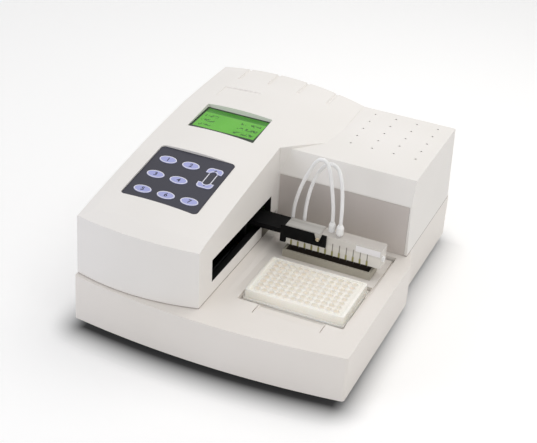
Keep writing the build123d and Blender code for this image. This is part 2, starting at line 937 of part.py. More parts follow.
# Hose fittings on the manifold, turned in one piece
def fitting(place, steps, name):
    """Spigot in the bore, then rings of (lower radius, upper radius, height)."""
    x, y = place
    body = rod(x, y, manifold_high - bore_depth + 1, fitting_bore, bore_depth - 1)
    z = manifold_high
    for low_radius, high_radius, height in steps:
        if low_radius == high_radius:
            body += rod(x, y, z, low_radius, height)
        else:
            cone = Cone(low_radius, high_radius, height, align=(Align.CENTER, Align.CENTER, Align.MIN))
            body += Pos(x, y, z) * cone
        z += height
    save(body, name)
    return z


supply_place, suction_place = fitting_places
supply_end = fitting(supply_place, [(4.2, 4.2, 9.0), (4.2, 3.0, 3.0)], "supply_fitting")
suction_end = fitting(suction_place, [(3.2, 4.6, 2.4), (4.6, 4.6, 8.6), (4.6, 2.9, 3.5)], "suction_fitting")

# Stubs on the shelf where the hoses start
stub_xs = (22.6, 38.0)
stub_y = 195.4
stub_height = 5.0
stub_radius = 3.2
stub_top = arm_high + stub_height
stubs = [rod(x, stub_y, arm_high, stub_radius, stub_height) for x in stub_xs]
group(stubs, "hose_stubs")

# Hoses: straight runs joined by arcs
hose_foot = 114.5
hose_drop = 134.0
supply_route = [
    (stub_xs[0], stub_y, stub_top),
    (stub_xs[0], stub_y, hose_foot),
    (24.6, 194.4, 130.0),
    (31.0, 191.6, 154.0),
    (38.4, 188.8, 173.0),
    (44.4, 186.6, 186.0),
    (49.4, 185.2, 195.6),
    (54.6, 184.4, 201.4),
    (61.0, 184.2, 201.8),
    (66.0, 184.4, 196.4),
    (69.4, 184.6, 186.0),
    (72.6, 185.0, 170.0),
    (75.2, 185.6, 152.0),
    (*supply_place, hose_drop),
    (*supply_place, supply_end),
]
suction_route = [
    (stub_xs[1], stub_y, stub_top),
    (stub_xs[1], stub_y, hose_foot),
    (38.6, 196.4, 131.0),
    (41.8, 197.6, 153.0),
    (47.0, 198.0, 170.0),
    (52.6, 197.8, 181.2),
    (58.2, 197.4, 188.6),
    (64.8, 196.6, 192.6),
    (71.8, 195.4, 191.8),
    (77.4, 193.6, 187.0),
    (82.2, 191.0, 177.0),
    (86.0, 187.6, 162.0),
    (88.2, 184.6, 147.0),
    (*suction_place, hose_drop),
    (*suction_place, suction_end),
]


def hose_radii(route):
    """Arc radius at each corner: 0.45 of the shorter run over the tangent of half the turn."""
    points = [Vector(*p) for p in route]
    radii = []
    for before, corner, after in zip(points, points[1:], points[2:]):
        inward = corner - before
        outward = after - corner
        turn = math.radians(inward.get_angle(outward))
        radii.append(0.45 * min(inward.length, outward.length) / math.tan(turn / 2))
    return radii


def hose(route, name):
    """Sweep one hose and report its radii and volume."""
    radii = hose_radii(route)
    path = FilletPolyline(*route, radius=radii)
    start = Plane(origin=route[0], z_dir=path % 0)
    body = sweep(start * Circle(tube_radius), path=path)
    expected = math.pi * tube_radius ** 2 * path.length
    print(name, "radii", [round(r, 1) for r in radii], "length", round(path.length, 1))
    print(name, "volume over section times length", round(body.volume / expected, 4))
    save(body, name)


hose(supply_route, "supply_hose")
hose(suction_route, "suction_hose")

# Plate carrier in the nest, and the plate on it
carrier_top = plate_bottom
carrier = block(nest_left - 6, nest_right + 4, nest_front - 6, nest_rear + 6, carrier_top - 3, carrier_top)
carrier += block(
    nest_left + gap,
    nest_right - gap,
    nest_front + gap,
    nest_rear - gap,
    bay_under - 1,
    carrier_top,
)
carrier -= block(plate_x - 52, plate_x + 52, plate_y - 32, plate_y + 32, bay_under - 4, carrier_top + 1)
stop_thick = 1.2
for x in (nest_left + gap, nest_right - gap - stop_thick):
    for y in (nest_front + 14, nest_rear - 24):
        if x < plate_x - plate_length / 2 - stop_thick or x > plate_x + plate_length / 2:
            carrier += block(x, x + stop_thick, y, y + 10, carrier_top - 1, carrier_top + 5)
for x in (34.0, 127.0):
    carrier += block(x - 8, x + 8, plate_y + plate_width / 2 + gap, nest_rear - gap, carrier_top - 1, base_top)
save(carrier, "plate_carrier")

plate_half_x = plate_length / 2
plate_half_y = plate_width / 2
plate_top = plate_bottom + plate_height
skirt = 3.2
skirt_inset = 1.4
micro = block(
    plate_x - plate_half_x,
    plate_x + plate_half_x,
    plate_y - plate_half_y,
    plate_y + plate_half_y,
    plate_bottom,
    plate_bottom + skirt,
)
micro += block(
    plate_x - plate_half_x + skirt_inset,
    plate_x + plate_half_x - skirt_inset,
    plate_y - plate_half_y + skirt_inset,
    plate_y + plate_half_y - skirt_inset,
    plate_bottom,
    plate_top,
)
micro = chamfer(micro.edges().filter_by(Axis.Z), 1.2)
row_ys = [plate_y + well_pitch * (j - (well_rows - 1) / 2) for j in range(well_rows)]
field_x = well_pitch * well_columns / 2
field_y = well_pitch * well_rows / 2
micro -= block(plate_x - field_x - 1, plate_x + field_x + 1, plate_y - field_y - 1, plate_y + field_y + 1, plate_top - 0.8, plate_top + 1)
with BuildSketch(Plane.XY.offset(plate_top - well_depth)) as wells:
    with GridLocations(well_pitch, well_pitch, well_columns, well_rows):
        RegularPolygon(well_radius, 8, rotation=22.5)
micro -= Pos(plate_x, plate_y, 0) * extrude(wells.sketch, well_depth + 1)
save(micro, "microplate")

# Rinse trough through the bay floor, with its drain
trough = block(trough_left, trough_right, trough_front, trough_rear, bay_height(trough_front) + 0.05, trough_rim)
deep = block(
    trough_left + trough_wall,
    trough_right - trough_wall,
    trough_front + trough_wall,
    trough_rear - trough_wall,
    trough_bottom,
    trough_rim,
)
trough += deep
trough -= block(
    trough_left + 2 * trough_wall,
    trough_right - 2 * trough_wall,
    trough_front + 2 * trough_wall,
    trough_rear - 2 * trough_wall,
    trough_bottom + 2,
    trough_rim + 1,
)
trough += tube(plate_x, (trough_front + trough_rear) / 2, trough_bottom - 8, 3.2, 1.8, 8)
trough -= rod(plate_x, (trough_front + trough_rear) / 2, trough_bottom - 9, 1.8, 14)
save(trough, "rinse_trough")

# Travel drive: motor, two pulleys and a belt under the carriage
belt_z = 40.0
pulley_x = carriage_x
drive_y = shaft_rear + 6
idler_y = shaft_front - 8
pulley_low = belt_z - belt_width / 2
post = pulley_low - 1.0
travel_motor = block(pulley_x - 21, pulley_x + 21, drive_y - 11, drive_y + 31, bed_top, post - 4)
travel_motor = fillet(travel_motor.edges().filter_by(Axis.Z), 4)
travel_motor += rod(pulley_x, drive_y, post - 4, 2.5, belt_width + 5)
save(travel_motor, "travel_motor")


def pulley(y, name):
    """Belt pulley that turns on its post."""
    wheel = tube(pulley_x, y, pulley_low, pulley_radius, 2.5 + running, belt_width)
    wheel += tube(pulley_x, y, pulley_low - 0.8, pulley_radius + 1.6, 2.5 + running, 0.8)
    save(wheel, name)


pulley(drive_y, "drive_pulley")
pulley(idler_y, "idler_pulley")
idler_post = rod(pulley_x, idler_y, bed_top, 6, post - bed_top)
idler_post += rod(pulley_x, idler_y, post, 2.5, belt_width + 1)
save(idler_post, "idler_post")


def belt_loop(radius):
    """Round-ended loop about both pulleys."""
    middle = (drive_y + idler_y) / 2
    with BuildSketch(Plane.XY.offset(pulley_low)) as plan:
        with Locations((pulley_x, middle)):
            SlotCenterToCenter(drive_y - idler_y, 2 * radius, rotation=90)
    return extrude(plan.sketch, belt_width)


belt = belt_loop(pulley_radius + gap + belt_thickness) - belt_loop(pulley_radius + gap)
save(belt, "timing_belt")

# Clamp that hangs from the carriage beside the belt
clamp_x = pulley_x + pulley_radius + gap + belt_thickness + gap
clamp = block(clamp_x, clamp_x + 4, arm_mid - 9, arm_mid + 9, pulley_low, carriage_low)
save(clamp, "belt_clamp")

# Pumps, valves and electrics
pump_y = 330.0
pump_xs = (base_half - 103.15, base_half - 51.15)
pumps = []
for x in pump_xs:
    pump = rod(x, pump_y - 35, 40, 17, 62, "Y")
    pump += block(x - 18, x + 18, pump_y + 27, pump_y + 45, 22, 58)
    pump += block(x - 14, x + 14, pump_y - 30, pump_y + 22, bed_low, 27)
    pumps.append(pump)
group(pumps, "fluid_pumps")
valves = []
for i in range(2):
    x = 16 + 26 * i
    valve = block(x - 9, x + 9, 270, 290, bed_low, 40) + rod(x, 280, 40, 8, 20)
    valves.append(valve)
group(valves, "pinch_valves")
board_thick = 1.6
supply_left = -base_half + 15.15
supply_wide = 46.0
supply_rear = base_depth - 37.0
supply_top = bed_low + board_thick
supply = block(supply_left, supply_left + supply_wide, supply_rear - 126, supply_rear, bed_low, supply_top)
supply += block(supply_left + 2, supply_left + 22, supply_rear - 114, supply_rear - 76, supply_top, 44)
supply += block(supply_left + 26, supply_left + 42, supply_rear - 114, supply_rear - 58, supply_top, 38)
supply += block(supply_left + 4, supply_left + 40, supply_rear - 46, supply_rear - 4, supply_top, 42)
save(supply, "power_supply")
board_left = -base_half + 9.15
board_wide = 54.0
board_front = 60.0
board_long = 172.0
board_post = 8.0
post_inset = 4.0
board_low = bed_low + board_post
board_mid = board_left + board_wide / 2
board = block(
    board_left,
    board_left + board_wide,
    board_front,
    board_front + board_long,
    board_low,
    board_low + board_thick,
)
for x in (board_left + post_inset, board_left + board_wide - post_inset):
    for y in (board_front + post_inset, board_front + board_long - post_inset):
        board += rod(x, y, bed_low, 3, board_post)
chip_height = 2.4
for dx, dy, w in ((-3, 30, 22), (-3, 80, 28), (3, 130, 16)):
    chip_low = board_low + board_thick
    x = board_mid + dx
    y = board_front + dy
    board += block(x - w / 2, x + w / 2, y - w / 2, y + w / 2, chip_low, chip_low + chip_height)
save(board, "main_board")

# Cooling fan behind the tower's louvres
fan_half = 30.0
fan_frame = block(fan_x - fan_half, fan_x + fan_half, fan_y, fan_y + fan_thick, fan_z - fan_half, fan_z + fan_half)
fan_frame -= rod(fan_x, fan_y - 1, fan_z, fan_radius, fan_thick + 2, "Y")
for k in range(3):
    spoke = block(fan_x, fan_x + fan_radius + 1, fan_y, fan_y + 1.6, fan_z - 1.5, fan_z + 1.5)
    fan_frame += spoke.rotate(Axis((fan_x, fan_y, fan_z), (0, 1, 0)), 120 * k + 20)
fan_frame += rod(fan_x, fan_y, fan_z, 9, 1.6, "Y")
fan_frame += rod(fan_x, fan_y + 1.6, fan_z, 1.5, 9, "Y")
save(fan_frame, "fan_frame")
hub_radius = 10.0
rotor = rod(fan_x, fan_y + 2.4, fan_z, hub_radius, 10, "Y") - rod(fan_x, fan_y + 2, fan_z, 1.5 + running, 9, "Y")
blade_base = Pos(fan_x + hub_radius + 7.5, fan_y + 7.4, fan_z) * Rot(35, 0, 0) * Box(17, 1.2, 11)
for k in range(7):
    rotor += blade_base.rotate(Axis((fan_x, fan_y, fan_z), (0, 1, 0)), 360 / 7 * k)
save(rotor, "fan_rotor")

# Rear fittings
inlet = service_hole(inlet_x, inlet_wide, inlet_high, 18, gap)
inlet += block(inlet_x - 25, inlet_x + 25, rear_face, rear_face + 3, service_z - 12, service_z + 12)
inlet -= block(inlet_x - 12, inlet_x + 12, rear_face - 14, rear_face + 4, service_z - 8, service_z + 8)
for dx, dz in ((-7, -1.5), (0, 1.5), (7, -1.5)):
    x = inlet_x + dx
    z = service_z + dz
    inlet += block(x - 1, x + 1, rear_face - 15, rear_face - 2, z - 2, z + 2)
save(inlet, "power_inlet")
bezel = block(switch_x - 12, switch_x + 12, rear_face, rear_face + 2, service_z - 9, service_z + 9)
bezel += service_hole(switch_x, bezel_wide, bezel_high, 12, gap)
rocker_half = 8.0
rocker_thick = 4.4
rocker_clear = 0.3
well_half = rocker_half + rocker_clear
well_high = rocker_thick + rocker_clear
bezel -= block(
    switch_x - well_half,
    switch_x + well_half,
    rear_face - 8,
    rear_face + 3,
    service_z - well_high,
    service_z + well_high,
)
pivot_y = rear_face - 3.0
pivot_radius = 1.2
bezel += rod(switch_x, pivot_y, service_z - well_high, pivot_radius, 2 * well_high)
save(bezel, "switch_bezel")
with BuildSketch(Plane.XY.offset(service_z - rocker_thick)) as rocker_plan:
    with BuildLine():
        Polyline(
            (switch_x - rocker_half + 0.8, pivot_y - 2.0),
            (switch_x + rocker_half - 0.8, pivot_y - 2.0),
            (switch_x + rocker_half - 0.2, pivot_y + 4.6),
            (switch_x, pivot_y + 3.2),
            (switch_x - rocker_half + 0.2, pivot_y + 4.6),
            close=True,
        )
    make_face()
rocker = extrude(rocker_plan.sketch, 2 * rocker_thick)
rocker -= rod(switch_x, pivot_y, service_z - 5, pivot_radius + running, 10)
save(rocker, "power_rocker")
barbs = []
for x in barb_xs:
    nipple = rod(x, rear_face - shell - 4, service_z, barb_hole - 0.1, shell + 4, "Y")
    nipple += rod(x, rear_face, service_z, 6, 3, "Y")
    nipple += rod(x, rear_face + 3, service_z, 2.6, rear_reach - 3, "Y")
    nipple += rod(x, rear_face + 8, service_z, 3.2, 2, "Y")
    barbs.append(nipple)
group(barbs, "hose_barbs")
port = service_hole(port_x, port_wide, port_high, 10, gap)
port += block(
    port_x - port_wide / 2 + 2,
    port_x + port_wide / 2 - 2,
    rear_face,
    rear_face + 4,
    service_z - port_high / 2 + 2,
    service_z + port_high / 2 - 2,
)
port += block(port_x - 20, port_x + 20, rear_face, rear_face + 1.2, service_z - 7.5, service_z + 7.5)
save(port, "data_port")
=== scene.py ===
import math
import bmesh
import bpy
from mathutils import Matrix, Vector


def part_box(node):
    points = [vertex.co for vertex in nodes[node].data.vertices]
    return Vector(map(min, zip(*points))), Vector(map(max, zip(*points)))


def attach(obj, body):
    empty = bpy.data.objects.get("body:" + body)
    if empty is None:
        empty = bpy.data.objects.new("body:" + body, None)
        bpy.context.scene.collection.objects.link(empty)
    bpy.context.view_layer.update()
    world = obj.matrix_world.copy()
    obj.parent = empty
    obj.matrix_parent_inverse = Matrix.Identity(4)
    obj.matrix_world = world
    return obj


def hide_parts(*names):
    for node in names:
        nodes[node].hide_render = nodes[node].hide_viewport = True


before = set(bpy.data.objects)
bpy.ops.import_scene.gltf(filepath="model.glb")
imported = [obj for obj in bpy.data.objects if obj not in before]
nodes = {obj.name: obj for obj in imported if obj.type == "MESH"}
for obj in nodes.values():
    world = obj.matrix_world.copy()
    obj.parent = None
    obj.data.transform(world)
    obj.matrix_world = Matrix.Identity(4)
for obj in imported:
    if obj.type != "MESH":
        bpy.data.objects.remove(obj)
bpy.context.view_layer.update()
print("frame loaded with", len(nodes), "nodes")


# Places for spot are in millimetres from the base's front corners, as the instrument was drawn.
# Other sizes are in metres, unless a dictionary's note says millimetres.
drawing = {"frontCorners": 204.5}


def spot(x, y, z):
    return Vector((x, y - drawing["frontCorners"], z)) / 1000


# Camera at the photograph's viewing angle
camera = {
    "place": (523.35, -1167.59, 954.73),
    "azimuth": 21.346,
    "elevation": 30.557,
    "roll": 4.248,
    "lens": 91.2,
    "sensor": 36.0,
    "near": 0.05,
    "far": 60.0,
}


def placeCamera(spec):
    turn = math.radians(spec["azimuth"])
    rise = math.radians(spec["elevation"])
    lean = math.radians(spec["roll"])
    ahead = Vector((-math.sin(turn) * math.cos(rise), math.cos(turn) * math.cos(rise), -math.sin(rise)))
    side = Vector((math.cos(turn), math.sin(turn), 0))
    above = side.cross(ahead)
    right = side * math.cos(lean) + above * math.sin(lean)
    up = above * math.cos(lean) - side * math.sin(lean)
    data = bpy.data.cameras.new("camera")
    data.lens = spec["lens"]
    data.sensor_width = spec["sensor"]
    data.clip_start = spec["near"]
    data.clip_end = spec["far"]
    eye = bpy.data.objects.new("camera", data)
    bpy.context.collection.objects.link(eye)
    turned = Matrix((right, up, -ahead)).transposed().to_4x4()
    eye.matrix_world = Matrix.Translation(spot(*spec["place"])) @ turned
    bpy.context.scene.camera = eye


placeCamera(camera)
print("camera placed")


class Sheet:
    # A material's or a group's node tree, with short calls to fill it
    def __init__(self, tree):
        self.tree = tree

    def add(self, kind, **settings):
        node = self.tree.nodes.new("ShaderNode" + kind)
        for key, value in settings.items():
            setattr(node, key, value)
        return node

    def join(self, out, into):
        self.tree.links.new(out, into)

    def feed(self, value, socket):
        if isinstance(value, bpy.types.NodeSocket):
            self.join(value, socket)
        else:
            socket.default_value = value

    def math(self, operation, a, b=0.0):
        node = self.add("Math", operation=operation)
        self.feed(a, node.inputs[0])
        self.feed(b, node.inputs[1])
        return node.outputs[0]

    def fit(self, value, low, high, newLow=0.0, newHigh=1.0):
        node = self.add("MapRange", clamp=True)
        self.feed(value, node.inputs["Value"])
        node.inputs["From Min"].default_value = low
        node.inputs["From Max"].default_value = high
        node.inputs["To Min"].default_value = newLow
        node.inputs["To Max"].default_value = newHigh
        return node.outputs["Result"]

    def blend(self, share, a, b):
        # The Mix node's colours are its sockets 6, 7 and 2
        node = self.add("Mix", data_type="RGBA")
        self.feed(share, node.inputs[0])
        self.feed(a, node.inputs[6])
        self.feed(b, node.inputs[7])
        return node.outputs[2]

    def times(self, value, *others):
        for other in others:
            value = self.math("MULTIPLY", value, other)
        return value

    def minus(self, a, b):
        return self.math("SUBTRACT", a, b)

    def apart(self, a, b):
        return self.math("ABSOLUTE", self.minus(a, b))

    def under(self, value, limit):
        return self.math("LESS_THAN", value, limit)

    def over(self, value, limit):
        return self.math("GREATER_THAN", value, limit)

    def between(self, value, low, high):
        return self.times(self.over(value, low), self.under(value, high))

    def place(self):
        return self.add("TexCoord").outputs["Object"]

    def split(self, vector):
        node = self.add("SeparateXYZ")
        self.join(vector, node.inputs[0])
        return node.outputs

    def upward(self):
        return self.split(self.add("NewGeometry").outputs["Normal"])[2]

    def noise(self, vector, scale, detail):
        node = self.add("TexNoise")
        node.inputs["Detail"].default_value = detail
        self.join(vector, node.inputs["Vector"])
        self.feed(scale, node.inputs["Scale"])
        return node.outputs["Fac"]

    def seen(self):
        # 1 where the camera, glass or a shiny face looks, 0 for light that falls on things
        path = self.add("LightPath").outputs
        through = self.math("MAXIMUM", path["Is Glossy Ray"], path["Is Transmission Ray"])
        return self.math("MAXIMUM", path["Is Camera Ray"], through)

    def group(self, tree, **values):
        node = self.add("Group")
        node.node_tree = tree
        for label, value in values.items():
            self.feed(value, node.inputs[label])
        return node

    def bump(self, height, strength, distance=0.0001):
        node = self.add("Bump")
        node.inputs["Strength"].default_value = strength
        node.inputs["Distance"].default_value = distance
        self.join(height, node.inputs["Height"])
        return node.outputs["Normal"]


def newGroup(name, inputs, outputs):
    tree = bpy.data.node_groups.new(name, "ShaderNodeTree")
    for label, kind, value in inputs:
        socket = tree.interface.new_socket(name=label, in_out="INPUT", socket_type="NodeSocket" + kind)
        socket.default_value = value
    for label, kind in outputs:
        tree.interface.new_socket(name=label, in_out="OUTPUT", socket_type="NodeSocket" + kind)
    start = tree.nodes.new("NodeGroupInput")
    end = tree.nodes.new("NodeGroupOutput")
    return Sheet(tree), start.outputs, end.inputs


def colour(r, g, b):
    # sRGB values from 0 to 255, as a shader wants them
    linear = []
    for part in (r, g, b):
        part = part / 255
        linear.append(part / 12.92 if part <= 0.04045 else ((part + 0.055) / 1.055) ** 2.4)
    return (*linear, 1.0)


# How fine the shared effects are, and how far they change a finish
effects = {
    "grainDetail": 3.0,
    "waveDetail": 1.5,
    "lineDetail": 4.0,
    "lineRange": (0.35, 0.65),
    "dustDetail": 5.0,
    "dustPatches": (0.35, 0.75),
    "dustFacing": (0.2, 0.95),
    "dustTone": colour(170, 165, 155),
    "mottleRange": (0.3, 0.7),
    "grainRange": (0.4, 0.9),
    "grainRough": (-0.05, 0.06),
    "streakRough": (-0.06, 0.08),
}


# Fine spark texture of moulded plastic, with the slow waves that a large moulding has
def makeMouldGrain():
    sheet, given, gives = newGroup(
        "mouldGrain",
        [("Grain", "Float", 1400.0), ("Waves", "Float", 9.0), ("WaveShare", "Float", 0.3)],
        [("Height", "Float"), ("Mottle", "Float")],
    )
    place = sheet.place()
    grain = sheet.noise(place, given["Grain"], effects["grainDetail"])
    waves = sheet.noise(place, given["Waves"], effects["waveDetail"])
    slow = sheet.times(waves, given["WaveShare"])
    sheet.join(sheet.math("ADD", grain, slow), gives["Height"])
    sheet.join(waves, gives["Mottle"])
    return sheet.tree


# Fine lines that a brush or a rolling mill leaves, along one axis
def makeBrushLines():
    sheet, given, gives = newGroup(
        "brushLines",
        [("Stretch", "Vector", (1.0, 1.0, 1.0)), ("Scale", "Float", 500.0)],
        [("Height", "Float"), ("Streak", "Float")],
    )
    scaled = sheet.add("VectorMath", operation="MULTIPLY")
    sheet.join(sheet.place(), scaled.inputs[0])
    sheet.join(given["Stretch"], scaled.inputs[1])
    lines = sheet.noise(scaled.outputs[0], given["Scale"], effects["lineDetail"])
    sheet.join(lines, gives["Height"])
    sheet.join(sheet.fit(lines, *effects["lineRange"]), gives["Streak"])
    return sheet.tree


# Thin dust that settles on what faces up, in soft patches
def makeSettledDust():
    sheet, given, gives = newGroup(
        "settledDust",
        [("Amount", "Float", 0.2), ("Patches", "Float", 30.0)],
        [("Mask", "Float")],
    )
    facing = sheet.fit(sheet.upward(), *effects["dustFacing"])
    patches = sheet.noise(sheet.place(), given["Patches"], effects["dustDetail"])
    lying = sheet.fit(patches, *effects["dustPatches"])
    sheet.join(sheet.times(facing, lying, given["Amount"]), gives["Mask"])
    return sheet.tree


mouldGrain = makeMouldGrain()
brushLines = makeBrushLines()
settledDust = makeSettledDust()


def newMaterial(name, roughness, metallic=0.0, coat=0.0, ior=1.46):
    material = bpy.data.materials.new(name)
    material.use_nodes = True
    shader = material.node_tree.nodes["Principled BSDF"]
    shader.inputs["Roughness"].default_value = roughness
    shader.inputs["Metallic"].default_value = metallic
    shader.inputs["Coat Weight"].default_value = coat
    shader.inputs["IOR"].default_value = ior
    return material, Sheet(material.node_tree), shader


def reopen(material):
    return Sheet(material.node_tree), material.node_tree.nodes["Principled BSDF"]


def repaint(sheet, shader, mask, tone):
    # Lays a tone over what already feeds the base colour
    plain = shader.inputs["Base Color"].links[0].from_socket
    sheet.join(sheet.blend(mask, plain, tone), shader.inputs["Base Color"])


def mottled(sheet, effect, dark, light):
    share = sheet.fit(effect.outputs["Mottle"], *effects["mottleRange"])
    return sheet.blend(share, dark, light)


def mouldedPlastic(name, light, dark, roughness, grain=1400.0, bump=0.12, dust=0.0, coat=0.0):
    material, sheet, shader = newMaterial(name, roughness, coat=coat)
    effect = sheet.group(mouldGrain, Grain=grain)
    tone = mottled(sheet, effect, dark, light)
    if dust:
        lying = sheet.group(settledDust, Amount=dust)
        tone = sheet.blend(lying.outputs["Mask"], tone, effects["dustTone"])
    sheet.join(tone, shader.inputs["Base Color"])
    smooth, rough = (roughness + change for change in effects["grainRough"])
    height = effect.outputs["Height"]
    sheet.join(sheet.fit(height, *effects["grainRange"], smooth, rough), shader.inputs["Roughness"])
    sheet.join(sheet.bump(height, bump), shader.inputs["Normal"])
    return material


def workedMetal(name, light, dark, roughness, stretch, scale=500.0, bump=0.15, metallic=1.0):
    material, sheet, shader = newMaterial(name, roughness, metallic=metallic)
    effect = sheet.group(brushLines, Stretch=stretch, Scale=scale)
    streak = effect.outputs["Streak"]
    sheet.join(sheet.blend(streak, dark, light), shader.inputs["Base Color"])
    smooth, rough = (roughness + change for change in effects["streakRough"])
    sheet.join(sheet.fit(streak, 0.0, 1.0, smooth, rough), shader.inputs["Roughness"])
    sheet.join(sheet.bump(effect.outputs["Height"], bump), shader.inputs["Normal"])
    return material


def dress(names, material):
    for name in names:
        for place in nodes[name].material_slots:
            place.material = material


def soften(name, width, angle=40.0):
    # Small round on the sharp edges of a carried-over piece
    edge = nodes[name].modifiers.new("roundedEdges", "BEVEL")
    edge.width = width
    edge.segments = 2
    edge.limit_method = "ANGLE"
    edge.angle_limit = math.radians(angle)
    edge.harden_normals = False


def addMesh(name, mesh, body, material):
    piece = bpy.data.objects.new(name, mesh)
    bpy.context.collection.objects.link(piece)
    mesh.materials.append(material)
    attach(piece, body)
    return piece


def meshFrom(name, build, smooth=40.0):
    work = bmesh.new()
    build(work)
    mesh = bpy.data.meshes.new(name)
    work.to_mesh(mesh)
    work.free()
    for face in mesh.polygons:
        face.use_smooth = True
    mesh.set_sharp_from_angle(angle=math.radians(smooth))
    return mesh


def ringOf(work, points):
    return [work.verts.new(p) for p in points]


def bridge(work, lower, upper):
    for i in range(len(lower)):
        j = (i + 1) % len(lower)
        work.faces.new((lower[i], lower[j], upper[j], upper[i]))


def loft(work, rings):
    for lower, upper in zip(rings, rings[1:]):
        bridge(work, lower, upper)


def turns(sides):
    return [2 * math.pi * i / sides for i in range(sides)]


def circle(x, y, radius, z, sides):
    return [Vector((x + radius * math.cos(a), y + radius * math.sin(a), z)) for a in turns(sides)]


def squareRing(centreX, centreY, halfX, halfY, corner, z, steps=4):
    points = []
    for quarter, (sx, sy) in enumerate(((1, 1), (-1, 1), (-1, -1), (1, -1))):
        cx = centreX + sx * (halfX - corner)
        cy = centreY + sy * (halfY - corner)
        for k in range(steps + 1):
            a = math.pi / 2 * (quarter + k / steps)
            points.append(Vector((cx + corner * math.cos(a), cy + corner * math.sin(a), z)))
    return points


# Hoses, in millimetres: their centre lines are control points of a smooth curve
hoses = {
    "radius": 2.3,
    "supply": [
        (22.6, 195.4, 104.2),
        (22.6, 195.4, 114.5),
        (24.6, 194.4, 130.0),
        (31.0, 191.6, 154.0),
        (38.4, 188.8, 173.0),
        (44.4, 186.6, 186.0),
        (49.4, 185.2, 195.6),
        (54.6, 184.4, 201.4),
        (61.0, 184.2, 201.8),
        (66.0, 184.4, 196.4),
        (69.4, 184.6, 186.0),
        (72.6, 185.0, 170.0),
        (75.2, 185.6, 152.0),
        (77.4, 186.6, 134.0),
        (77.4, 186.6, 119.4),
    ],
    "suction": [
        (38.0, 195.4, 104.2),
        (38.0, 195.4, 114.5),
        (38.6, 196.4, 131.0),
        (41.8, 197.6, 153.0),
        (47.0, 198.0, 170.0),
        (52.6, 197.8, 181.2),
        (58.2, 197.4, 188.6),
        (64.8, 196.6, 192.6),
        (71.8, 195.4, 191.8),
        (77.4, 193.6, 187.0),
        (82.2, 191.0, 177.0),
        (86.0, 187.6, 162.0),
        (88.2, 184.6, 147.0),
        (89.6, 181.6, 134.0),
        (89.6, 181.6, 121.9),
    ],
    "supplyLength": 0.1958,  # metres
    "suctionLength": 0.1786,
    "milky": colour(252, 252, 251),
    "shade": colour(243, 243, 244),
    "clearness": 0.08,
    "milkiness": 0.5,
    "scatter": (0.002, 0.002, 0.002),  # metres
}


def hosePlastic():
    material, sheet, shader = newMaterial("hosePlastic", roughness=0.28, coat=0.15, ior=1.41)
    effect = sheet.group(mouldGrain, Grain=260.0, Waves=60.0)
    sheet.join(mottled(sheet, effect, hoses["shade"], hoses["milky"]), shader.inputs["Base Color"])
    shader.inputs["Transmission Weight"].default_value = hoses["clearness"]
    shader.inputs["Subsurface Weight"].default_value = hoses["milkiness"]
    shader.inputs["Subsurface Radius"].default_value = hoses["scatter"]
    sheet.join(sheet.bump(effect.outputs["Height"], strength=0.05), shader.inputs["Normal"])
    return material


def addHose(name, points, node, material):
    line = bpy.data.curves.new(name, "CURVE")
    line.dimensions = "3D"
    run = line.splines.new("NURBS")
    run.points.add(len(points) - 1)
    for point, place in zip(run.points, points):
        point.co = (*spot(*place), 1.0)
    run.order_u = 3
    run.use_endpoint_u = True
    run.resolution_u = 10
    line.bevel_depth = hoses["radius"] / 1000
    line.bevel_resolution = 5
    line.use_fill_caps = True
    line.materials.append(material)
    piece = bpy.data.objects.new(name, line)
    bpy.context.collection.objects.link(piece)
    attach(piece, "wash_head")
    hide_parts(node)


hoseFinish = hosePlastic()
addHose("supplyHose", hoses["supply"], "supply_hose", hoseFinish)
addHose("suctionHose", hoses["suction"], "suction_hose", hoseFinish)
print("hoses laid")


# Large mouldings
covers = {
    "light": colour(237, 234, 231),
    "dark": colour(233, 230, 226),
    "base": colour(235, 230, 225),
    "baseDark": colour(231, 226, 220),
    "roughness": 0.42,
    "grainDepth": 0.10,
    "edge": 0.0007,
    # Height and tone of a painted shadow line at the cover's foot
    "seamHeight": 0.0012,
    "seamShadow": colour(150, 142, 134),
}

# The arm's slot, in millimetres: painted shade, black, on the cover's walls from just inside the outer
# face
armSlot = {
    "front": 41.0,
    "rear": 232.0,
    "low": 86.5,
    "high": 118.0,
    "outerFace": -13.7,
    "draft": 0.028,
    "foot": 69.65,
    "inside": 0.25,
    "depth": 12.0,
    "paintedShade": colour(9, 9, 10),
}


def paintSlot(material):
    # Painted shade: the cover's walls inside the arm's slot are coloured black
    sheet, shader = reopen(material)
    low = spot(armSlot["outerFace"] - armSlot["depth"], armSlot["front"], armSlot["low"])
    high = spot(armSlot["outerFace"], armSlot["rear"], armSlot["high"])
    x, y, z = sheet.split(sheet.place())
    lean = sheet.times(sheet.minus(z, armSlot["foot"] / 1000), armSlot["draft"])
    depth = sheet.minus(sheet.minus(high[0] - armSlot["inside"] / 1000, lean), x)
    inner = sheet.times(sheet.over(depth, 0.0), sheet.over(x, low[0]))
    opening = sheet.times(sheet.between(y, low[1], high[1]), sheet.between(z, low[2], high[2]))
    repaint(sheet, shader, sheet.times(inner, opening), armSlot["paintedShade"])


def shadeSeam(material):
    # Painted shadow: a dark line along the cover's foot, where it stands on the base
    sheet, shader = reopen(material)
    height = sheet.split(sheet.place())[2]
    shadowLine = sheet.under(height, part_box("upper_cover")[0][2] + covers["seamHeight"])
    repaint(sheet, shader, shadowLine, covers["seamShadow"])


coverPlastic = mouldedPlastic(
    "coverPlastic", covers["light"], covers["dark"], covers["roughness"], bump=covers["grainDepth"]
)
basePlastic = mouldedPlastic(
    "basePlastic", covers["base"], covers["baseDark"], covers["roughness"], bump=covers["grainDepth"]
)
paintSlot(coverPlastic)
shadeSeam(coverPlastic)
dress(["upper_cover"], coverPlastic)
dress(["base_housing"], basePlastic)
soften("upper_cover", covers["edge"])
soften("base_housing", covers["edge"])
print("covers finished")


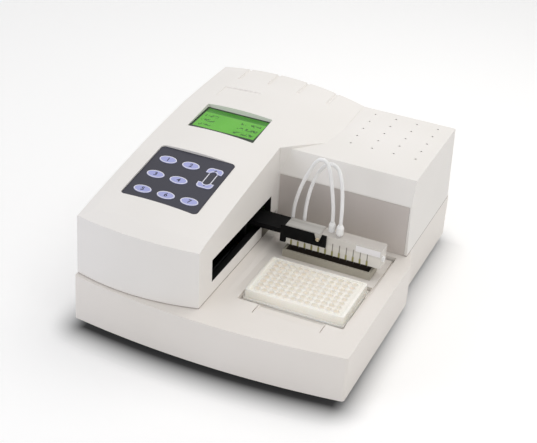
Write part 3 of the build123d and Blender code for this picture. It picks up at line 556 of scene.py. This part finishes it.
# Satin grey panel behind the bay, with painted shade that darkens it towards the top
panel = {
    "upper": colour(200, 193, 189),
    "lower": colour(210, 203, 198),
    "streak": colour(225, 222, 219),
    "streakShare": 0.03,
    "stretch": (1.0, 1.0, 0.02),
}


def splashMetal():
    material, sheet, shader = newMaterial("splashMetal", roughness=0.38, metallic=0.12, coat=0.1)
    effect = sheet.group(brushLines, Stretch=panel["stretch"], Scale=420.0)
    low, high = (corner[2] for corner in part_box("splash_panel"))
    # Painted shade: the panel's tone darkens from its foot to its top
    rise = sheet.fit(sheet.split(sheet.place())[2], low, high)
    tone = sheet.blend(rise, panel["lower"], panel["upper"])
    streak = sheet.times(effect.outputs["Streak"], panel["streakShare"])
    sheet.join(sheet.blend(streak, tone, panel["streak"]), shader.inputs["Base Color"])
    sheet.join(sheet.bump(effect.outputs["Height"], strength=0.05), shader.inputs["Normal"])
    return material


dress(["splash_panel"], splashMetal())


# Keypad film, keys and their printed outlines, in millimetres
keypad = {
    "film": colour(44, 44, 56),
    "filmLight": colour(50, 50, 63),
    "key": colour(172, 176, 224),
    "keyDark": colour(160, 165, 216),
    "outline": colour(232, 232, 240),
    "outlineDark": colour(222, 222, 232),
    "mark": colour(45, 45, 70),
    "markDark": colour(36, 36, 58),
    "grain": 2600.0,
    "outlineWidth": 1.15,
    "lift": 0.06,
    "tilt": 7.2,
    "keyTop": 0.75,
    "ovalWide": 22.4,
    "ovalDeep": 13.8,
    "signWide": 20.2,
    "signDeep": 10.2,
    "signCorner": 5.4,
    "slotHalf": 4.5,
    "slotReach": -0.9,
    "slotSink": 0.5,
    "cornerSteps": 8,
    "notchSteps": 6,
    "markSize": 9.0,
    "signSize": 8.0,
    "markWeight": 0.2,
}


def keyPlastic(name, light, dark, roughness, bump):
    return mouldedPlastic(name, keypad[light], keypad[dark], roughness, grain=keypad["grain"], bump=bump)


filmFinish = keyPlastic("keypadFilm", "filmLight", "film", roughness=0.45, bump=0.2)
keyFinish = keyPlastic("keyFilm", "key", "keyDark", roughness=0.38, bump=0.15)
outlineFinish = keyPlastic("keyOutline", "outline", "outlineDark", roughness=0.45, bump=0.12)
markFinish = keyPlastic("keyMark", "mark", "markDark", roughness=0.5, bump=0.12)
ovalKeys = ["key_%d" % n for n in range(1, 8)]
dress(["keypad_overlay"], filmFinish)
dress(ovalKeys + ["key_plus", "key_minus"], keyFinish)

# Directions of the sloping keypad: to the right, up its slope and out of it
slope = math.radians(keypad["tilt"])
right = Vector((1, 0, 0))
along = Vector((0, math.cos(slope), math.sin(slope)))
up = Vector((0, -math.sin(slope), math.cos(slope)))


def keyCentre(name):
    low, high = (Vector(c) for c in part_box(name))
    return (low + high) / 2 + up * (keypad["keyTop"] / 1000)


def flatBand(work, outer, inner):
    # Closes a flat band of the printed line's thickness between two loops
    lift = keypad["lift"] / 1000
    rings = []
    for loop, height in ((outer, -lift), (outer, lift), (inner, lift), (inner, -lift)):
        rings.append(ringOf(work, [p + up * height for p in loop]))
    loft(work, rings + rings[:1])


def oval(centre, wide, deep, sides=48):
    return [centre + right * wide * math.cos(a) + along * deep * math.sin(a) for a in turns(sides)]


def buildOutlines(work):
    wide = keypad["ovalWide"] / 2000
    deep = keypad["ovalDeep"] / 2000
    line = keypad["outlineWidth"] / 1000
    for name in ovalKeys:
        centre = keyCentre(name)
        flatBand(work, oval(centre, wide, deep), oval(centre, wide - line, deep - line))
    bmesh.ops.recalc_face_normals(work, faces=work.faces)


def signOutline(name, way):
    # Outline of a rounded key with its notch, from the outer edge's middle round to the slot
    centre = keyCentre(name)
    wide = keypad["signWide"] / 2000
    deep = keypad["signDeep"] / 2000
    corner = keypad["signCorner"] / 1000
    notch = keypad["slotHalf"] / 1000
    notchFoot = keypad["slotReach"] / 1000 - deep
    half = []
    for k in range(keypad["cornerSteps"] + 1):
        a = math.pi / 2 * (1 - k / keypad["cornerSteps"])
        half.append((wide - corner + corner * math.cos(a), deep - corner + corner * math.sin(a)))
    half += [(wide, -deep), (notch, -deep)]
    for k in range(keypad["notchSteps"]):
        a = math.pi / 2 * k / keypad["notchSteps"]
        half.append((notch * math.cos(a), notchFoot + notch * math.sin(a)))
    mirrored = [(-x, y) for x, y in reversed(half)]
    loop = half + [(0.0, notchFoot + notch)] + mirrored
    return [centre + right * x + along * way * y for x, y in loop]


def ribbon(work, loop, line):
    # A closed line of even width along a loop
    beside = []
    for i, point in enumerate(loop):
        ahead = (loop[(i + 1) % len(loop)] - loop[i - 1]).normalized()
        beside.append(point + up.cross(ahead) * line)
    flatBand(work, loop, beside)


def buildSignOutlines(work):
    line = keypad["outlineWidth"] / 1000
    lift = keypad["lift"] / 1000
    for name, way in (("key_plus", 1), ("key_minus", -1)):
        ribbon(work, signOutline(name, way), line * -way)
    # Two straight lines join the notches of the plus and minus keys
    edge = along * keypad["signDeep"] / 2000
    sink = up * keypad["slotSink"] / 1000
    start = keyCentre("key_minus") + edge - sink
    end = keyCentre("key_plus") - edge - sink
    for side in (1, -1):
        x = side * (keypad["slotHalf"] / 1000 + line / 2)
        corners = []
        for place, shift in ((start, -line / 2), (start, line / 2), (end, line / 2), (end, -line / 2)):
            corners.append(place + right * (x + shift))
        lower = ringOf(work, [c - up * lift for c in corners])
        upper = ringOf(work, [c + up * lift for c in corners])
        bridge(work, lower, upper)
        work.faces.new(upper)
        work.faces.new(list(reversed(lower)))
    bmesh.ops.recalc_face_normals(work, faces=work.faces)


addMesh("signOutlines", meshFrom("signOutlines", buildSignOutlines), "root", outlineFinish)
addMesh("keyOutlines", meshFrom("keyOutlines", buildOutlines), "root", outlineFinish)


def addMark(name, text, key, size):
    letter = bpy.data.curves.new(name, "FONT")
    letter.body = text
    letter.size = size / 1000
    letter.align_x = "CENTER"
    letter.align_y = "CENTER"
    letter.extrude = keypad["lift"] / 1000
    letter.offset = keypad["markWeight"] / 1000
    letter.materials.append(markFinish)
    piece = bpy.data.objects.new(name, letter)
    bpy.context.collection.objects.link(piece)
    turned = Matrix((right, along, up)).transposed().to_4x4()
    piece.matrix_world = Matrix.Translation(keyCentre(key)) @ turned
    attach(piece, key)


for number, key in enumerate(ovalKeys, 1):
    addMark("mark%d" % number, str(number), key, keypad["markSize"])
addMark("markPlus", "+", "key_plus", keypad["signSize"])
addMark("markMinus", "-", "key_minus", keypad["signSize"])
print("keypad finished")


# Display: green screen with a darker header and faint rows, under a clear window
screen = {
    "green": colour(110, 196, 60),
    "header": colour(66, 146, 34),
    "ink": colour(30, 84, 24),
    "border": colour(20, 45, 18),
    "glow": 0.66,
    "headerShare": 0.80,
    "rows": (0.66, 0.45, 0.24),
    "rowHeight": 0.05,
    "edgeLine": 0.03,
    "frontEdge": 0.12,
    "dashScale": 300.0,
    "dashCut": 0.52,
    "gapMiddle": 0.45,
    "gapHalf": 0.18,
    "rowHalf": 0.43,
    "inkShare": 0.85,
    "unlit": 0.7,
    "windowTint": colour(235, 245, 232),
}


def lcdScreen():
    material, sheet, shader = newMaterial("lcdScreen", roughness=0.35)
    low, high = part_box("display_window")
    across, along, _ = sheet.split(sheet.place())
    u = sheet.fit(across, low[0], high[0])
    v = sheet.fit(along, low[1], high[1])
    sideEdge = sheet.math("MINIMUM", u, sheet.minus(1.0, u))
    endEdge = sheet.math("MINIMUM", v, sheet.minus(1.0, v))
    edge = sheet.math("MINIMUM", sideEdge, endEdge)
    tone = sheet.blend(sheet.over(v, screen["headerShare"]), screen["green"], screen["header"])
    dashes = sheet.noise(sheet.place(), screen["dashScale"], detail=1.0)
    rows = 0.0
    for row in screen["rows"]:
        rows = sheet.math("ADD", sheet.under(sheet.apart(v, row), screen["rowHeight"]), rows)
    inked = sheet.times(rows, sheet.over(dashes, screen["dashCut"]))
    sides = sheet.over(sheet.apart(u, screen["gapMiddle"]), screen["gapHalf"])
    ends = sheet.under(sheet.apart(u, 0.5), screen["rowHalf"])
    inked = sheet.times(inked, sides, ends, screen["inkShare"])
    tone = sheet.blend(inked, tone, screen["ink"])
    rim = sheet.under(edge, screen["edgeLine"])
    rim = sheet.math("MAXIMUM", rim, sheet.under(v, screen["frontEdge"]))
    tone = sheet.blend(rim, tone, screen["border"])
    sheet.join(sheet.blend(screen["unlit"], tone, colour(0, 0, 0)), shader.inputs["Base Color"])
    sheet.join(tone, shader.inputs["Emission Color"])
    shader.inputs["Emission Strength"].default_value = screen["glow"]
    return material


def windowAcrylic():
    material, sheet, shader = newMaterial("windowAcrylic", roughness=0.04, ior=1.3)
    shader.inputs["Transmission Weight"].default_value = 1.0
    effect = sheet.group(mouldGrain, Grain=180.0, Waves=25.0)
    tone = mottled(sheet, effect, screen["windowTint"], colour(255, 255, 255))
    sheet.join(tone, shader.inputs["Base Color"])
    sheet.join(sheet.bump(effect.outputs["Height"], strength=0.03), shader.inputs["Normal"])
    return material


dress(["lcd_module"], lcdScreen())
dress(["display_window"], windowAcrylic())
print("display finished")


# Wash head
head = {
    "black": colour(8, 8, 9),
    "blackLight": colour(12, 12, 13),
    "blackShine": 0.15,
    "plate": colour(190, 188, 184),
    "plateDark": colour(172, 170, 166),
    "frost": colour(222, 218, 212),
    "frostLight": colour(230, 227, 222),
    "clearness": 0.15,
    "foot": colour(238, 235, 228),
    "footRise": (0.012, 0.0145),
    "top": colour(190, 183, 177),
    "topFacing": (0.5, 0.8),
    "topShare": 0.6,
    "line": colour(100, 94, 84),
    "lineHalf": 0.0005,
    "lineSoft": 1.7,
    "lineTop": 0.0175,
    "lineFade": 0.001,
    "lineShare": 0.75,
    "needles": 12,
    "pitch": 0.009,
    "beadRadius": 0.0011,
    "beadEdge": (0.0009, 0.0017),
    "beadTop": (0.0058, 0.0074),
    "beadShare": 0.85,
    "glue": colour(158, 154, 84),
    "needle": colour(150, 150, 150),
}
blackMetal = mouldedPlastic(
    "blackMetal", head["blackLight"], head["black"], roughness=0.7, grain=1800.0, bump=0.1
)
reopen(blackMetal)[1].inputs["Specular IOR Level"].default_value = head["blackShine"]
headPlate = workedMetal(
    "headPlate", head["plate"], head["plateDark"], roughness=0.36, stretch=(0.03, 1.0, 1.0), metallic=0.35
)
dress(["wash_arm", "head_bracket", "slot_backplate"], blackMetal)
dress(["tube_cover"], headPlate)


def frostedBlock():
    # Frosted acrylic that shows its needles as thin dark lines and the glue at its foot
    material, sheet, shader = newMaterial("headAcrylic", roughness=0.16, coat=0.3, ior=1.45)
    shader.inputs["Transmission Weight"].default_value = head["clearness"]
    effect = sheet.group(mouldGrain, Grain=180.0, Waves=60.0)
    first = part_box("dispense_needles")[0][0] + head["beadRadius"]
    across, _, height = sheet.split(sheet.place())
    rise = sheet.minus(height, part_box("manifold")[0][2])
    steps = sheet.math("DIVIDE", sheet.minus(across, first), head["pitch"])
    away = sheet.times(sheet.apart(steps, sheet.math("ROUND", steps)), head["pitch"])
    within = sheet.under(sheet.apart(steps, (head["needles"] - 1) / 2), head["needles"] / 2)
    tone = mottled(sheet, effect, head["frost"], head["frostLight"])
    tone = sheet.blend(sheet.fit(rise, *head["footRise"]), head["foot"], tone)
    # Painted shade: faces of the block that look up are darker
    topFace = sheet.fit(sheet.upward(), *head["topFacing"])
    tone = sheet.blend(sheet.times(topFace, head["topShare"]), tone, head["top"])
    line = sheet.fit(away, head["lineHalf"], head["lineHalf"] * head["lineSoft"], 1.0, 0.0)
    tall = sheet.fit(rise, head["lineTop"] - head["lineFade"], head["lineTop"], 1.0, 0.0)
    tone = sheet.blend(sheet.times(line, tall, within, head["lineShare"]), tone, head["line"])
    bead = sheet.fit(away, *head["beadEdge"], 1.0, 0.0)
    low = sheet.fit(rise, *head["beadTop"], 1.0, 0.0)
    tone = sheet.blend(sheet.times(bead, low, within, head["beadShare"]), tone, head["glue"])
    sheet.join(tone, shader.inputs["Base Color"])
    sheet.join(sheet.bump(effect.outputs["Height"], strength=0.03), shader.inputs["Normal"])
    return material


dress(["manifold"], frostedBlock())


# Bare white plate on the block's front, in millimetres
label = {
    "left": 114.5,
    "right": 146.0,
    "low": 97.6,
    "high": 105.4,
    "proud": 0.25,
    "sunk": 0.1,
    "corner": 0.6,
    "light": colour(240, 239, 240),
    "dark": colour(234, 233, 235),
}


def buildLabel(work):
    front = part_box("manifold")[0][1]
    low = spot(label["left"], 0, label["low"])
    high = spot(label["right"], 0, label["high"])
    middle = (low + high) / 2
    half = (high - low) / 2
    rings = []
    for y in (front + label["sunk"] / 1000, front - label["proud"] / 1000):
        ring = squareRing(middle[0], middle[2], half[0], half[2], label["corner"] / 1000, y)
        rings.append(ringOf(work, [Vector((p[0], p[2], p[1])) for p in ring]))
    bridge(work, rings[0], rings[1])
    work.faces.new(rings[1])
    work.faces.new(list(reversed(rings[0])))
    bmesh.ops.recalc_face_normals(work, faces=work.faces)


labelFinish = mouldedPlastic(
    "labelFilm", label["light"], label["dark"], roughness=0.3, grain=2000.0, bump=0.03
)
addMesh("frontPlate", meshFrom("frontPlate", buildLabel), "wash_head", labelFinish)


def needleSteel():
    # Steel below the block, glue where the needle stands in its bore
    material, sheet, shader = newMaterial("needleSteel", roughness=0.3)
    height = sheet.split(sheet.place())[2]
    inside = sheet.over(height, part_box("manifold")[0][2])
    sheet.join(sheet.blend(inside, head["needle"], head["glue"]), shader.inputs["Base Color"])
    sheet.join(sheet.minus(1.0, inside), shader.inputs["Metallic"])
    return material


dress(["dispense_needles", "aspirate_needles"], needleSteel())
whiteFitting = mouldedPlastic(
    "whiteFitting", colour(244, 244, 243), colour(234, 235, 236), roughness=0.3, bump=0.05, coat=0.2
)
dress(["supply_fitting", "suction_fitting", "hose_stubs", "manifold_plug"], whiteFitting)
print("wash head finished")


# Trough, carrier and plate
bay = {
    "trough": colour(178, 173, 160),
    "troughDark": colour(168, 163, 150),
    "troughShade": colour(84, 76, 68),
    "troughWall": 0.0008,
    "troughLip": 0.0008,
    "carrier": colour(226, 222, 217),
    "carrierDark": colour(218, 214, 209),
    "plate": colour(250, 245, 237),
    "plateDark": colour(246, 240, 230),
    "plateScatter": 0.8,
    "scatterReach": (0.006, 0.0055, 0.005),
    "wellGlow": (0.095, 0.082, 0.072, 1.0),
    "glowMargins": (0.006, 0.004),
    "glowFrom": 0.0045,
    "glowTo": 0.0012,
}


def insideBox(sheet, x, y, name, marginX, marginY):
    # 1 within a piece's box as seen from above, less a margin at its sides and ends
    low, high = (Vector(c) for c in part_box(name))
    middle = (low + high) / 2
    half = (high - low) / 2
    across = sheet.under(sheet.apart(x, middle[0]), half[0] - marginX)
    return sheet.times(across, sheet.under(sheet.apart(y, middle[1]), half[1] - marginY))


def darkenInside(material):
    # Painted shade: the trough's well is darkened below its rim
    sheet, shader = reopen(material)
    x, y, z = sheet.split(sheet.place())
    mask = insideBox(sheet, x, y, "rinse_trough", bay["troughWall"], bay["troughWall"])
    below = sheet.under(z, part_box("rinse_trough")[1][2] - bay["troughLip"])
    repaint(sheet, shader, sheet.times(mask, below), bay["troughShade"])


def lightenWells(material):
    # Painted light: a glow in the wells stands in for light that comes through the plate's thin walls into
    # them
    sheet, shader = reopen(material)
    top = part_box("microplate")[1][2]
    x, y, z = sheet.split(sheet.place())
    mask = insideBox(sheet, x, y, "microplate", *bay["glowMargins"])
    depth = sheet.fit(z, top - bay["glowFrom"], top - bay["glowTo"], 1.0, 0.0)
    tone = sheet.blend(sheet.times(mask, depth), colour(0, 0, 0), bay["wellGlow"])
    sheet.join(tone, shader.inputs["Emission Color"])
    shader.inputs["Emission Strength"].default_value = 1.0
    shader.inputs["Subsurface Weight"].default_value = bay["plateScatter"]
    shader.inputs["Subsurface Radius"].default_value = bay["scatterReach"]
    shader.inputs["Subsurface Scale"].default_value = 1.0


troughPlastic = mouldedPlastic("troughPlastic", bay["trough"], bay["troughDark"], roughness=0.5, bump=0.1)
carrierPlastic = mouldedPlastic(
    "carrierPlastic", bay["carrier"], bay["carrierDark"], roughness=0.45, bump=0.1
)
plateFinish = mouldedPlastic(
    "platePlastic", bay["plate"], bay["plateDark"], roughness=0.25, grain=900.0, bump=0.04, coat=0.2
)
darkenInside(troughPlastic)
lightenWells(plateFinish)
dress(["rinse_trough"], troughPlastic)
dress(["plate_carrier"], carrierPlastic)

microplate = {
    "columns": 12,
    "rows": 8,
    "pitch": 0.009,
    "sides": 24,
    "skirt": [(0.0, 0.0), (0.0, 0.0028), (0.0004, 0.0032), (0.0014, 0.0032)],  # inset, height
    "wall": [(0.0017, 0.0004), (0.0022, 0.0)],  # inset, depth below the top
    "frame": [(0.0036, 0.0032, 0.0), (0.0032, 0.0028, 0.0003)],  # past the wells in X and Y, depth
    "deck": (0.0030, 0.0026, 0.0011),  # the same, at the floor between the wells
    "corner": 0.0028,
    "frameCorner": 0.0012,
    "fieldCorner": 0.00001,
    "weld": 0.00002,
    # Radius and height over the deck, up round a well's rim and down to its floor
    "well": [
        (0.00395, 0.0),
        (0.00385, 0.0008),
        (0.00375, 0.0009),
        (0.00345, 0.0009),
        (0.00335, 0.0008),
        (0.00325, -0.0095),
        (0.00275, -0.0104),
        (0.00155, -0.0107),
    ],
}


def buildWell(work, x, y, deck):
    # A square of the deck round the well, then the well's own rings
    half = microplate["pitch"] / 2
    cell = []
    for a in turns(microplate["sides"]):
        reach = half / max(abs(math.cos(a)), abs(math.sin(a)))
        cell.append(Vector((x + reach * math.cos(a), y + reach * math.sin(a), deck)))
    rings = [ringOf(work, cell)]
    for radius, rise in microplate["well"]:
        rings.append(ringOf(work, circle(x, y, radius, deck + rise, microplate["sides"])))
    loft(work, rings)
    work.faces.new(rings[-1])


def buildPlate(work):
    spec = microplate
    low, high = (Vector(c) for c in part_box("microplate"))
    centre = (low + high) / 2
    half = (high - low) / 2
    fieldX = spec["columns"] * spec["pitch"] / 2
    fieldY = spec["rows"] * spec["pitch"] / 2
    deck = high[2] - spec["deck"][2]
    outline = [(half[0] - inset, half[1] - inset, low[2] + rise) for inset, rise in spec["skirt"]]
    outline += [(half[0] - inset, half[1] - inset, high[2] - drop) for inset, drop in spec["wall"]]
    outer = len(outline)
    for pastX, pastY, drop in spec["frame"] + [spec["deck"]]:
        outline.append((fieldX + pastX, fieldY + pastY, high[2] - drop))
    rings = []
    for i, (x, y, z) in enumerate(outline):
        corner = spec["corner"] if i < outer else spec["frameCorner"]
        rings.append(ringOf(work, squareRing(centre[0], centre[1], x, y, corner, z)))
    loft(work, rings)
    work.faces.new(list(reversed(rings[0])))
    field = squareRing(centre[0], centre[1], fieldX, fieldY, spec["fieldCorner"], deck)
    bridge(work, rings[-1], ringOf(work, field))
    for row in range(spec["rows"]):
        for column in range(spec["columns"]):
            x = centre[0] + (column - (spec["columns"] - 1) / 2) * spec["pitch"]
            y = centre[1] + (row - (spec["rows"] - 1) / 2) * spec["pitch"]
            buildWell(work, x, y, deck)
    bmesh.ops.remove_doubles(work, verts=work.verts, dist=spec["weld"])
    bmesh.ops.recalc_face_normals(work, faces=work.faces)


plateMesh = meshFrom("wellPlate", buildPlate, smooth=35.0)
wellPlate = addMesh("wellPlate", plateMesh, "root", plateFinish)
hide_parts("microplate")
print("microplate built")


# Mechanism and fittings out of sight or at the rear: the light and the dark tone of each finish
hidden = {
    "steel": (colour(186, 186, 184), colour(160, 160, 158)),
    "darkSteel": (colour(60, 60, 62), colour(40, 40, 42)),
    "aluminium": (colour(200, 200, 202), colour(180, 180, 183)),
    "anodised": (colour(24, 24, 26), colour(14, 14, 15)),
    "bronze": (colour(170, 125, 70), colour(150, 108, 60)),
    "brass": (colour(226, 214, 190), colour(204, 190, 162)),
    "plastic": (colour(48, 48, 51), colour(40, 40, 43)),
    "board": (colour(30, 96, 52), colour(24, 82, 44)),
    "rubber": (colour(28, 28, 29), colour(22, 22, 23)),
    "barb": (colour(224, 224, 220), colour(214, 214, 210)),
    "drawn": (1.0, 0.03, 1.0),  # stretch of the brush lines
    "milled": (1.0, 0.1, 1.0),
    "even": (1.0, 1.0, 1.0),
}


def hiddenMetal(name, tones, lines, roughness, metallic=1.0):
    return workedMetal(name, *hidden[tones], roughness, hidden[lines], metallic=metallic)


brightSteel = hiddenMetal("brightSteel", "steel", "drawn", roughness=0.28)
milledAluminium = hiddenMetal("milledAluminium", "aluminium", "milled", roughness=0.36)
bushBronze = hiddenMetal("bushBronze", "bronze", "even", roughness=0.4)
darkPlastic = mouldedPlastic("darkPlastic", *hidden["plastic"], roughness=0.5, dust=0.15)
boardGreen = mouldedPlastic("boardGreen", *hidden["board"], roughness=0.35, dust=0.2)
footRubber = mouldedPlastic("footRubber", *hidden["rubber"], roughness=0.75, grain=900.0, bump=0.3)
barbPlastic = mouldedPlastic("barbPlastic", *hidden["barb"], roughness=0.4)
blackAnodised = hiddenMetal("blackAnodised", "anodised", "milled", roughness=0.5, metallic=0.3)
darkSteel = hiddenMetal("darkSteel", "darkSteel", "drawn", roughness=0.35)
screwBrass = hiddenMetal("screwBrass", "brass", "even", roughness=0.3, metallic=0.6)
dress(["guide_shafts", "lift_rods", "lead_screw"], darkSteel)
dress(["bottom_plate"], brightSteel)
dress(["idler_post", "drive_pulley", "idler_pulley"], milledAluminium)
dress(["carriage", "lift_block", "mechanism_bed", "belt_clamp"], blackAnodised)
dress(["carriage_bushes"], bushBronze)
dress(["lift_motor", "travel_motor", "fluid_pumps", "pinch_valves", "fan_frame", "fan_rotor"], darkPlastic)
dress(["power_inlet", "switch_bezel", "power_rocker", "data_port"], darkPlastic)
dress(["keypad_board", "main_board", "power_supply"], boardGreen)
dress(["timing_belt", "rubber_feet"], footRubber)
dress(["hose_barbs"], barbPlastic)
dress(["cover_screw"], screwBrass)
print("inner pieces finished")


# Floor, backdrop and studio light
studio = {
    "floor": colour(222, 222, 223),
    "floorSeen": colour(254, 254, 254),
    "floorGlow": 0.09,
    "floorRings": (0.5, 2.0, 12.0),
    "floorSides": 48,
    "shade": colour(12, 12, 14),
    "shadeDepth": 0.94,
    "shadeRear": 0.35,
    "shadeCurve": 1.6,
    "shadeBounce": 0.45,
    "shadeReach": 0.05,
    "baseHalf": 0.160,
    "baseFront": 0.2045,
    "baseBow": 0.012,
    "world": colour(247, 247, 247),
    "ambient": 0.73,
    "lamps": {  # places in millimetres
        "top": {
            "place": (220, 640, 1050),
            "aim": (60, 260, 100),
            "size": 0.9,
            "power": 3.4,
            "tint": (1.0, 0.97, 0.93),
        },
        "right": {
            "place": (1500, -500, 620),
            "aim": (60, 160, 80),
            "size": 1.2,
            "power": 3.5,
            "tint": (1.0, 0.95, 0.89),
        },
        "front": {
            "place": (-1300, -1500, 800),
            "aim": (-60, 60, 60),
            "size": 1.2,
            "power": 8.0,
            "tint": (0.86, 0.89, 1.0),
        },
    },
}


def contactShade(sheet, seen):
    # Painted contact shadow: dark at the base's bowed outline, fading over the floor, and fainter for
    # bounced light
    x, y, _ = sheet.split(sheet.place())
    half = studio["baseHalf"]
    bow = sheet.math("POWER", sheet.math("DIVIDE", x, half), 2.0)
    front = sheet.times(sheet.minus(bow, 1.0), studio["baseBow"])
    ahead = sheet.math("MAXIMUM", sheet.minus(sheet.minus(front, studio["baseFront"]), y), 0.0)
    beside = sheet.math("MAXIMUM", sheet.minus(sheet.math("ABSOLUTE", x), half), 0.0)
    behind = sheet.math("MAXIMUM", sheet.minus(y, studio["baseFront"]), 0.0)
    squares = sheet.math("ADD", sheet.math("POWER", ahead, 2.0), sheet.math("POWER", beside, 2.0))
    away = sheet.math("ADD", sheet.math("SQRT", squares), behind)
    near = sheet.fit(away, 0.0, studio["shadeReach"], 1.0, 0.0)
    near = sheet.math("POWER", near, studio["shadeCurve"])
    depth = sheet.fit(y, -studio["baseFront"], 0.0, studio["shadeDepth"], studio["shadeRear"])
    bounce = sheet.fit(seen, 0.0, 1.0, studio["shadeBounce"], 1.0)
    return sheet.times(near, depth, bounce)


def floorPaper():
    material, sheet, shader = newMaterial("floorPaper", roughness=0.9)
    seen = sheet.seen()
    tone = sheet.blend(seen, studio["floor"], studio["floorSeen"])
    near = contactShade(sheet, seen)
    sheet.join(sheet.blend(near, tone, studio["shade"]), shader.inputs["Base Color"])
    glow = sheet.times(seen, sheet.minus(1.0, near), studio["floorGlow"])
    shader.inputs["Emission Color"].default_value = studio["world"]
    sheet.join(glow, shader.inputs["Emission Strength"])
    return material


def buildDisc(work):
    rings = [ringOf(work, circle(0, 0, r, 0, studio["floorSides"])) for r in studio["floorRings"]]
    work.faces.new(rings[0])
    loft(work, rings)


def addFloor():
    mesh = meshFrom("studioFloor", buildDisc)
    mesh.materials.append(floorPaper())
    floor = bpy.data.objects.new("studioFloor", mesh)
    bpy.context.collection.objects.link(floor)


def buildWorld():
    world = bpy.data.worlds.new("studioWorld")
    bpy.context.scene.world = world
    world.use_nodes = True
    sheet = Sheet(world.node_tree)
    background = world.node_tree.nodes["Background"]
    background.inputs["Color"].default_value = studio["world"]
    strength = sheet.fit(sheet.seen(), 0.0, 1.0, studio["ambient"], 1.0)
    sheet.join(strength, background.inputs["Strength"])


def addLamp(name, spec):
    data = bpy.data.lights.new(name, "AREA")
    data.shape = "DISK"
    data.size = spec["size"]
    data.energy = spec["power"]
    data.color = spec["tint"]
    lamp = bpy.data.objects.new(name, data)
    bpy.context.collection.objects.link(lamp)
    lamp.location = spot(*spec["place"])
    aim = spot(*spec["aim"]) - lamp.location
    lamp.rotation_euler = aim.to_track_quat("-Z", "Y").to_euler()


addFloor()
buildWorld()
for lampName, lampSpec in studio["lamps"].items():
    addLamp(lampName + "Lamp", lampSpec)
bpy.context.scene.view_settings.view_transform = "Standard"
print("studio lit")

bpy.context.view_layer.update()
